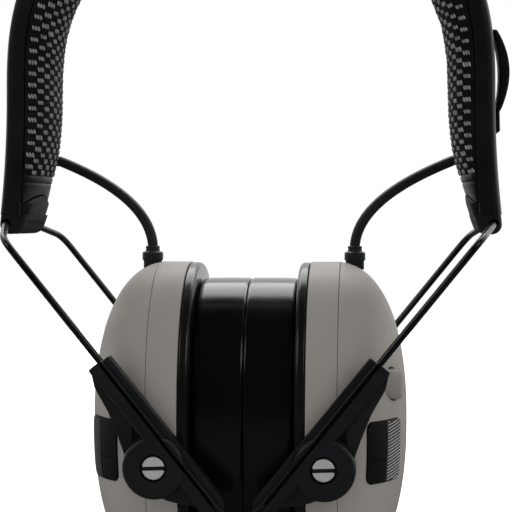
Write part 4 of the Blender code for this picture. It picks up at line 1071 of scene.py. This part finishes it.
def legRod(side, face, low, high, radius, count):
    x, z = legPoint(0.0, arm["wireOffset"])
    start, axis = (side * x, face * arm["wireY"], z), (side * legAlong.x, 0, legAlong.y)
    return rod("legRod", start, axis, low, high, radius, count)


def slideArm(prefix, where, side, face):
    s = arm
    top, tail, low, high, step = s["topU"], s["tailU"], s["railLow"], s["railHigh"], s["step"]
    rail = [(top, low), (tail - 3.2, low), (tail - 1.0, low + 0.9), (tail, low + 2.8), (tail, high - 0.6),
            (tail - 1.0, high + 0.6), (tail - 2.6, high + 0.6), (tail - 4.0, high), (top, high)]
    web = [(top + 0.5, low + 2.0), (top + 0.5, low + 0.2), (-32.7, 0.8), (-23.6, -0.7), (-15.2, -3.3), (-10.3, -5.0),
           (-4.0, -7.0), (8.5, -5.2), (11.5, -3.6), (14.5, -1.2), (17.5, 1.6), (20.5, low + 0.4), (20.5, low + 2.0)]
    flange = [(top + 0.4, high - 1.6), (tail - 2.0, high - 1.6), (tail - 2.4, s["flangeHigh"] - 1.6),
              (tail - 4.2, s["flangeHigh"] - 0.3), (tail - 6.0, s["flangeHigh"]), (top + 0.4, s["flangeHigh"])]
    body = legPrism(f"{prefix}{where}Arm", rail, side, face, step, step + s["railThick"], s["corner"])
    soften(body, s["round"], 50)
    others = [legPrism("web", web, side, face, 2 * step, 2 * step + s["webThick"], 0.6),
              legPrism("flange", flange, side, face, 1.5 * step, 1.5 * step + s["flangeThick"], 0.6)]
    for other in others:
        soften(other, s["round"] * 0.8, 50, 2)
    axis = (side * pivot["x"], face * s["backY"], pivot["z"])
    r, thick, soft = s["bossRadius"], s["bossThick"], s["bossRound"]
    profile = [(0.0, r - 0.3), (0.3, r)] + [(a, b) for b, a in arc((r - soft, thick - soft), soft, 0, 90, 6)]
    boss = solid("boss", turnedRows(axis, (0, face, 0), profile, 72), armBlack)
    carve(body, others + [boss], "UNION")
    seat = thick - screw["head"] - gap
    near, far = s["wireOffset"] - s["slit"] / 2, s["wireOffset"] + s["slit"] / 2
    slit = [(top - 2, near), (tail + 2, near), (tail + 2, far), (top - 2, far)]
    tools = [
        legRod(side, face, top - 2, tail + 2, wire["radius"] + loose, 24),
        legPrism("slit", slit, side, face, s["wireY"] - s["backY"], thick + 2, 0),
        legRod(side, face, s["beadTopU"] - gap, tail + 2, s["beadRadius"] + loose, 24),
        rod("hole", axis, (0, face, 0), -2.0, thick + 2, screw["radius"] + loose, 32),
        rod("seat", axis, (0, face, 0), seat, thick + 2, screw["headRadius"] + 0.8, 56),
        legPrism("pocket", s["pocket"], side, face, s["pocketFloor"], thick + 2, 0.4),
    ]
    carve(body, tools)
    sharpen(body, 35)
    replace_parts(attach(body, f"{prefix}_arms"), f"{prefix}_{where.lower()}_arm")


def wireBail(prefix, side):
    tipX, tipZ = legPoint(wire["tipU"], arm["wireOffset"])
    half = [(tipX, arm["wireY"], tipZ), (wire["bendX"], arm["wireY"], wire["bendZ"]),
            (block["hingeX"], block["capHalfWidth"], block["hingeZ"])]
    path = [(side * x, -y, z) for x, y, z in half] + [(side * x, y, z) for x, y, z in reversed(half)]
    rows = tubeRows(roundedPath(path, wire["bendRadius"], 12), wire["radius"], wire["sides"])
    piece = solid(f"{prefix}WireBail", rows, wireSteel, 50)
    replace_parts(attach(piece, f"{prefix}_bail"), f"{prefix}_wire_bail")


def screwShape():
    r, high, edge, reach = screw["headRadius"], screw["head"], screw["edge"], screw["reach"]
    profile = [(-reach, screw["radius"] * 0.6), (-reach + 0.8, screw["radius"]), (0.0, screw["radius"]),
               (0.0, r - 0.15), (0.15, r), (high - edge, r)]
    profile += [(high - edge + edge * math.sin(t), r - edge + edge * math.cos(t)) for t in (0.5, 1.0, 1.4)]
    profile += [(high + 0.02, r * 0.6), (high + 0.04, 0.4)]
    piece = solid("screwShape", turnedRows((0, 0, 0), (0, 0, 1), profile, 48), screwSteel)
    wide, floor = screw["slot"] / 2, high - screw["slotDeep"]
    rows = [[(-6, -wide, z), (6, -wide, z), (6, wide, z), (-6, wide, z)] for z in (floor, high + 2)]
    carve(piece, [solid("slot", rows)])
    return sharpen(piece, 30)


def screwTree():
    tree, value, out, add, calc = newGroup("pivotScrews", "GeometryNodeTree", {
        "Places": "Geometry", "Screw": "Object", "Seat": 0.0, "Turn": 0.0, "Seed": 3, "Finish": "Material"},
        {"Screws": "Geometry"})
    parts = add("SeparateXYZ", {0: add("InputPosition")})
    outward = add("CombineXYZ", {"Y": calc("SIGN", parts.outputs["Y"])})
    lift = add("VectorMath", {0: outward, "Scale": value["Seat"]}, operation="SCALE")
    spots = add("SetPosition", {"Geometry": value["Places"], "Offset": lift})
    facing = add("AlignRotationToVector", {"Vector": outward}, axis="Z")
    random = add("RandomValue", {
        2: calc("MULTIPLY", value["Turn"], -1.0), 3: value["Turn"], "Seed": value["Seed"]}, data_type="FLOAT")
    twist = add("CombineXYZ", {"Z": random.outputs[1]})
    turned = add("RotateRotation", {"Rotation": facing, "Rotate By": twist}, rotation_space="LOCAL")
    item = add("ObjectInfo", {"Object": value["Screw"], "As Instance": True})
    copies = add("InstanceOnPoints", {"Points": spots, "Instance": item.outputs["Geometry"], "Rotation": turned})
    return endTree(tree, out, copies, value["Finish"])


def pivotScrews():
    shape, tree = screwShape(), screwTree()
    for prefix, side in bothSides:
        mesh = bpy.data.meshes.new("screwPlaces")
        spots = [(side * pivot["x"] * mm, face * arm["backY"] * mm, pivot["z"] * mm) for face in (-1, 1)]
        mesh.from_pydata(spots, [], [])
        piece = place(f"{prefix}PivotScrews", mesh, screwSteel)
        runTree(piece, tree, {"Screw": shape, "Seat": (screw["seatY"] - arm["backY"]) * mm, "Turn": screw["turn"],
                              "Seed": screw["seed"], "Finish": screwSteel})
        sharpen(piece, 30)
        piece.data.materials.append(slotDark)
        top = screw["seatY"] + screw["head"]
        for face in piece.data.polygons:  # the slot's floor and walls, given painted shade for the dark of the recess
            _, y, z = face.center / mm
            if abs(z - pivot["z"]) < screw["slot"] * 0.6 and top - screw["slotDeep"] - 0.1 < abs(y) < top - 0.03:
                face.material_index = 1
        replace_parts(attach(piece, f"{prefix}_cup"), f"{prefix}_front_screw", f"{prefix}_rear_screw")
    bpy.data.objects.remove(shape, do_unlink=True)


for prefix, side in bothSides:
    slideArm(prefix, "Front", side, -1)
    slideArm(prefix, "Rear", side, 1)
    wireBail(prefix, side)
pivotScrews()
print("arms, wires and screws made")


# microphone panels

hatch = {"pitch": 1.06, "slope": 10.5, "radius": 0.21, "sunk": 0.05, "steps": 160, "margin": 0.35, "tall": 72.0,
         "long": 60.0, "sideways": -2.0, "down": -35.0, "uvUnit": 100.0}


def panelSheet(start, end, margin, offset):  # the outer face only, with its UVs in hundreds of millimetres
    unit = panel["degreesPerMm"]
    low, high = panel["lowZ"] + margin, panel["topZ"] - margin
    first, last = start + margin * unit, end - margin * unit
    points, uvs, faces = [], [], []
    wide, tall, corner = 32, 24, panel["corner"]
    for i in range(wide + 1):
        angle = first + (last - first) * i / wide
        short = max(0.0, corner - (last - angle) / unit)
        drop = corner - math.sqrt(corner ** 2 - short ** 2)
        for j in range(tall + 1):
            z = low + drop + (high - low - 2 * drop) * j / tall
            points.append(domeFront(angle, z, offset))
            uvs.append(((angle - panel["from"]) / unit / hatch["uvUnit"], (z - panel["lowZ"]) / hatch["uvUnit"]))
    for i in range(wide):
        for j in range(tall):
            a = i * (tall + 1) + j
            faces.append((a, a + 1, a + tall + 2, a + tall + 1))
    return points, faces, uvs


def hatchTree():  # slanting wires laid over a sheet by its UVs
    tree, value, out, add, _ = newGroup("hatchWires", "GeometryNodeTree", {
        "Sheet": "Geometry", "Count": 40, "Pitch": 0.009, "Slope": 0.7, "Long": 0.5, "Steps": 40, "Radius": 0.0002,
        "Start": "Vector", "Finish": "Material"}, {"Wires": "Geometry"})
    row = add("MeshLine", {"Count": value["Count"], "Offset": add("CombineXYZ", {"Y": value["Pitch"]})})
    line = add("CurvePrimitiveLine", {"End": add("CombineXYZ", {"X": value["Long"]})})
    fine = add("ResampleCurve", {"Curve": line, "Count": value["Steps"]})
    lean = add("CombineXYZ", {"Z": value["Slope"]})
    copies = add("InstanceOnPoints", {"Points": row, "Instance": fine, "Rotation": lean})
    real = add("RealizeInstances", {0: copies})
    shift = add("VectorMath", {0: add("InputPosition"), 1: value["Start"]}, operation="ADD")
    flow = add("InputNamedAttribute", {"Name": "flow"}, data_type="FLOAT_VECTOR")
    found = add("SampleUVSurface", {
        0: value["Sheet"], 1: add("InputPosition"), 2: flow, 3: shift}, data_type="FLOAT_VECTOR")
    outside = add("BooleanMath", {0: found.outputs["Is Valid"]}, operation="NOT")
    store = add("StoreNamedAttribute", {
        "Geometry": real, "Name": "outside", "Value": outside}, data_type="FLOAT", domain="POINT")
    moved = add("SetPosition", {"Geometry": store, "Position": found})
    mark = add("InputNamedAttribute", {"Name": "outside"}, data_type="FLOAT")
    left = add("DeleteGeometry", {"Geometry": moved, "Selection": mark}, domain="POINT")
    ring = add("CurvePrimitiveCircle", {"Resolution": 6, "Radius": value["Radius"]})
    tube = add("CurveToMesh", {"Curve": left, "Profile Curve": ring, "Fill Caps": True})
    return endTree(tree, out, add("SetShadeSmooth", {0: tube}), value["Finish"])


def micPanel(prefix, side, tree):
    # painted light and shade: the right screen gets the lit wire and back finishes, the left gets the shaded wires
    # over the plain panel's black
    screenWire, screenFloor = (screenLight, screenBack) if side > 0 else (screenDark, panelBlack)
    parts = (("micPanel", "mic_panel", panel["from"], panel["split"], (True, False), panelBlack, None),
             ("micScreen", "mic_screen", panel["split"] + gap * panel["degreesPerMm"], panel["to"], (False, True),
              screenFloor, screenWire))
    for word, node, start, end, ends, look, wireLook in parts:
        rows = mirrored(panelRows(start, end, 0.0, ends, -panel["sunk"], panel["proud"]), side)
        slab = solid(f"{prefix}{word}", rows, look)
        soften(slab, panel["round"], 50)
        if not wireLook:  # fine line across the plain part
            unit, z, half = panel["degreesPerMm"], panel["lineZ"], panel["lineHalf"]
            first, last = start + panel["lineStart"] * unit, end - panel["lineStop"] * unit
            line = skinRows(first, last, z - half, z + half, panel["lineCorner"], unit, (False, False), domeFront,
                            panel["proud"] - panel["lineDeep"], panel["lineClear"], 14, 2)
            carve(slab, [solid("line", mirrored(line, side), look)])
        sharpen(slab, 35)
        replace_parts(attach(slab, f"{prefix}_cup"), f"{prefix}_{node}")
        if not wireLook:
            continue
        points, faces, uvs = panelSheet(start, end, hatch["margin"], panel["proud"] - hatch["sunk"])
        points = [(side * x, y, z) for x, y, z in points]
        wires = place(f"{prefix}{word}Wires", closeMesh("sheet", points, faces, uvs), wireLook)
        slope, unit = math.radians(hatch["slope"]), hatch["uvUnit"]
        pitch = hatch["pitch"] / math.cos(slope)
        runTree(wires, tree, {
            "Count": int(hatch["tall"] / pitch), "Pitch": pitch / unit, "Slope": slope, "Long": hatch["long"] / unit,
            "Start": (hatch["sideways"] / unit, hatch["down"] / unit, 0.0), "Steps": hatch["steps"],
            "Radius": hatch["radius"] * mm, "Finish": wireLook})
        sharpen(wires, 60)
        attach(wires, f"{prefix}_cup")


hatchWires = hatchTree()
for prefix, side in bothSides:
    micPanel(prefix, side, hatchWires)
print("microphone panels made")


# knob, door, glands

def ribTree():
    tree, value, out, add, _ = newGroup("knobRibs", "GeometryNodeTree", {
        "Core": "Geometry", "Ribs": 20, "Ring": 0.005, "Rib radius": 0.0004, "Long": 0.006, "Middle": "Vector",
        "Finish": "Material"}, {"Knob": "Geometry"})
    circle = add("MeshCircle", {"Vertices": value["Ribs"], "Radius": value["Ring"]})
    rib = add("MeshCylinder", {
        "Vertices": 8, "Side Segments": 1, "Radius": value["Rib radius"], "Depth": value["Long"]})
    copies = add("InstanceOnPoints", {"Points": circle, "Instance": rib})
    laid = add("Transform", {
        "Geometry": copies, "Translation": value["Middle"], "Rotation": (0.0, math.pi / 2, 0.0)})
    both = feed(tree, add("JoinGeometry", {0: laid}), {0: value["Core"]})
    return endTree(tree, out, both, value["Finish"])


def volumeKnob():
    long, high = knob["toX"] - knob["fromX"], knob["ribHigh"]
    r = knob["radius"] - high
    edge = knob["edge"]
    profile = [(0.0, 2.5), (0.0, r - 0.2), (0.2, r), (long - edge, r)]
    profile += [(long - edge + edge * math.sin(t), r - edge + edge * math.cos(t)) for t in (0.3, 0.6, 0.9, 1.2, 1.5)]
    profile += [(long, r - 1.6), (long - 0.35, r - 2.0), (long - 0.35, 0.3)]
    rows = turnedRows((knob["fromX"], knob["y"], knob["z"]), (1, 0, 0), profile, 64)
    piece = solid("volumeKnob", rows, shellGrey)
    runTree(piece, ribTree(), {
        "Ribs": knob["ribs"], "Ring": r * mm, "Rib radius": high * mm, "Long": (long - 1.2) * mm,
        "Middle": ((knob["fromX"] + long / 2 - 0.2) * mm, knob["y"] * mm, knob["z"] * mm), "Finish": shellGrey})
    sharpen(piece, 35)
    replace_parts(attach(piece, "volume_knob"), "volume_knob")


def batteryDoor():
    piece = solid("batteryDoor", mirrored(doorRows(0.0, -door["thick"], 0.0), -1), shellGrey)
    soften(piece, door["round"], 50, 2)
    sharpen(piece, 32)
    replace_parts(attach(piece, "battery_door"), "battery_door")


def leadGland(prefix, side):
    deep, r, neck, collar = gland["topZ"] - gland["lowZ"], gland["radius"], gland["neck"], gland["collar"]
    profile = [(0.0, gland["bore"]), (0.0, neck - 0.2), (0.3, neck), (1.0, neck - 0.15), (1.9, neck),
               (2.2, collar - 0.3), (2.5, collar), (4.9, collar), (5.2, collar - 0.3), (5.3, r), (deep, r),
               (deep, gland["bore"])]
    rows = turnedRows((side * gland["x"], gland["y"], gland["topZ"]), (0, 0, -1), profile, 40)
    piece = place(f"{prefix}LeadGland", gridMesh("gland", rows, wrapRows=True), leadRubber)
    soften(piece, gland["round"], 40, 2)
    sharpen(piece, 40)
    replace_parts(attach(piece, f"{prefix}_cup"), f"{prefix}_lead_gland")


lead = {"radius": 1.85, "y": 13.5, "exitZ": -82.0, "exitDepth": 5.5, "steps": 48, "sides": 20,
        "bandPull": (-0.35, 0, -0.14), "cupPull": (0.03, 0, 0.30), "room": 2.2}


def leadPath(side):
    x, y, z = bandOuterX(lead["exitZ"]) - lead["exitDepth"], lead["y"], lead["exitZ"]
    start, leave = Vector((x, y, z)), Vector((bandInnerX(z) + 1.0, y, z))
    enter = Vector((gland["x"], gland["y"], gland["topZ"] + 0.5))
    pull = (enter - leave).length
    first = leave + Vector([c * pull for c in lead["bandPull"]])
    second = enter + Vector([c * pull for c in lead["cupPull"]])
    path = [start, (start + leave) / 2]
    for i in range(lead["steps"] + 1):
        t = i / lead["steps"]
        path.append(leave * (1 - t) ** 3 + first * 3 * t * (1 - t) ** 2
                    + second * 3 * t * t * (1 - t) + enter * t ** 3)
    path += [Vector((gland["x"], gland["y"], height)) for height in (gland["topZ"] - 3.0, gland["lowZ"] + 1.0)]
    return [Vector((side * p.x, p.y, p.z)) for p in path]


def sideLead(prefix, side):  # three lengths, a third of the lead's rows each
    path = leadPath(side)
    rows = tubeRows(path, lead["radius"], lead["sides"])
    third = len(rows) // 3
    for k in range(3):
        low, high = k * third, len(rows) - 1 if k == 2 else (k + 1) * third
        piece = solid(f"{prefix}Lead{k + 1}", rows[low:high + 1], leadRubber, 60)
        start, end = path[low], path[high]
        way = (end - start).normalized() * lead["room"]
        start, end = start + way, end - way
        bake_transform(piece)
        if k == 0:
            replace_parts(piece, f"{prefix}_lead")


volumeKnob()
batteryDoor()
for prefix, side in bothSides:
    leadGland(prefix, side)
    sideLead(prefix, side)
print("knob, door, glands and leads made")


# nodes that keep the frame's own shape

kept = {
    "spring_strip": stripSteel, "band_lead": leadRubber, "block_rivet": blockBlack, "wire_tip": armBlack,
    "speaker_baffle": speakerPlastic, "speaker": speakerPlastic, "volume_control": speakerPlastic,
    "circuit_board": boardGreen, "audio_jack": speakerPlastic, "battery_tray": speakerPlastic,
    "battery_a": cellSleeve, "battery_b": cellSleeve,
}
for obj in bpy.data.objects:
    for word, look in kept.items():
        if obj.type == "MESH" and obj.name.endswith(word) and obj.name in frame["nodes"]:
            for slot in obj.material_slots:
                slot.link = "OBJECT"
                slot.material = look
            break


# floor, light and camera

stage = {"floorHalf": 1.5, "floorDrop": 20.4, "camera": (5.0, 1.3), "distance": 560.0,
         "target": (1.5, 0.0, -116.5), "lens": 110.3}


def pieceFloor():
    low = cadBox[0][2] / mm - stage["floorDrop"]
    half = stage["floorHalf"] / mm
    rows = [[(-half, y, low), (half, y, low)] for y in (-half, half)]
    look, tree, shader = newLook("paleFloor")
    floor = place("floor", gridMesh("floor", rows, wrapCols=False), look)
    add = partial(put, tree)
    spot, path = add("TexCoord").outputs["Object"], add("LightPath").outputs
    slow = add("TexNoise", {"Vector": spot, "Scale": 6.0})
    mix = add("Mix", {"Factor": slow, 6: (0.72, 0.72, 0.72, 1), 7: (0.74, 0.74, 0.74, 1)}, data_type="RGBA")
    dim = add("Mix", {  # the floor stays low in the gloss of black pieces
        "Factor": path["Is Glossy Ray"], 6: mix.outputs[2], 7: (0.06, 0.06, 0.06, 1)}, data_type="RGBA")
    feed(tree, shader, {"Base Color": dim.outputs[2], "Roughness": 0.9, "Specular IOR Level": 0.1})
    flat = add("VectorMath", {0: spot, 1: (1.0, 1.0, 0.0)}, operation="MULTIPLY")
    away = add("VectorMath", {0: flat}, operation="LENGTH").outputs["Value"]
    white = add("MapRange", {  # white further out, and a shadow under the cups
        "Value": away, "From Min": 0.12, "From Max": 0.5, "To Min": 0.34, "To Max": 0.75})
    strength = mathOf(tree, "MULTIPLY", path["Is Camera Ray"], white)
    glow = add("Emission", {"Color": (1, 1, 1, 1), "Strength": strength})
    feed(tree, tree.nodes["Material Output"], {"Surface": add("AddShader", {0: shader, 1: glow})})


def studioWorld():
    world = bpy.data.worlds.new("studio")
    world.use_nodes = True
    tree = world.node_tree
    add = partial(put, tree)
    way = add("SeparateXYZ", {0: add("TexCoord").outputs["Generated"]})
    sweep = add("MapRange", {  # white behind and overhead, dim in front
        "Value": way.outputs["Y"], "From Min": -0.10, "From Max": 0.12, "To Min": 0.02, "To Max": 1.0},
        interpolation_type="SMOOTHSTEP")
    path = add("LightPath").outputs
    mirrorRay = mathOf(tree, "MAXIMUM", path["Is Glossy Ray"], path["Is Transmission Ray"])
    lit = add("Mix", {"Factor": mirrorRay, 2: 0.81, 3: sweep}, data_type="FLOAT")
    seen = add("Mix", {"Factor": path["Is Camera Ray"], 2: lit, 3: 1.0}, data_type="FLOAT")
    feed(tree, tree.nodes["Background"], {"Color": (1, 1, 1, 1), "Strength": seen})
    bpy.context.scene.world = world


def lamp(name, spot, aim, size, power):
    data = bpy.data.lights.new(name, "AREA")
    data.shape = "RECTANGLE"
    data.size, data.size_y = size
    data.energy = power
    obj = bpy.data.objects.new(name, data)
    obj.location = Vector(spot)
    obj.rotation_euler = (Vector(aim) - Vector(spot)).to_track_quat("-Z", "Y").to_euler()
    bpy.context.scene.collection.objects.link(obj)


def photoCamera():
    data = bpy.data.cameras.new("photoCamera")
    data.lens, data.sensor_width, data.sensor_fit = stage["lens"], 36.0, "HORIZONTAL"
    data.clip_start, data.clip_end = 0.01, 20.0
    turn, rise = (math.radians(a) for a in stage["camera"])
    target = Vector(stage["target"]) * mm
    back = Vector((math.sin(turn) * math.cos(rise), -math.cos(turn) * math.cos(rise), math.sin(rise)))
    obj = bpy.data.objects.new("photoCamera", data)
    obj.location = target + back * stage["distance"] * mm
    obj.rotation_euler = (-back).to_track_quat("-Z", "Y").to_euler()
    bpy.context.scene.collection.objects.link(obj)
    bpy.context.scene.camera = obj


pieceFloor()
studioWorld()
lamp("overhead", (0.0, 0.54, 0.72), (0.0, 0.32, -0.2), (1.3, 1.0), 13.5)
for prefix, side in bothSides:
    lamp(f"{prefix}Softbox", (side * 0.75, -0.65, 0.40), (0.0, 0.0, -0.12), (0.4, 0.4), 1.3)
photoCamera()
bpy.context.scene.view_settings.view_transform = "Standard"

print("floor, light and camera set")
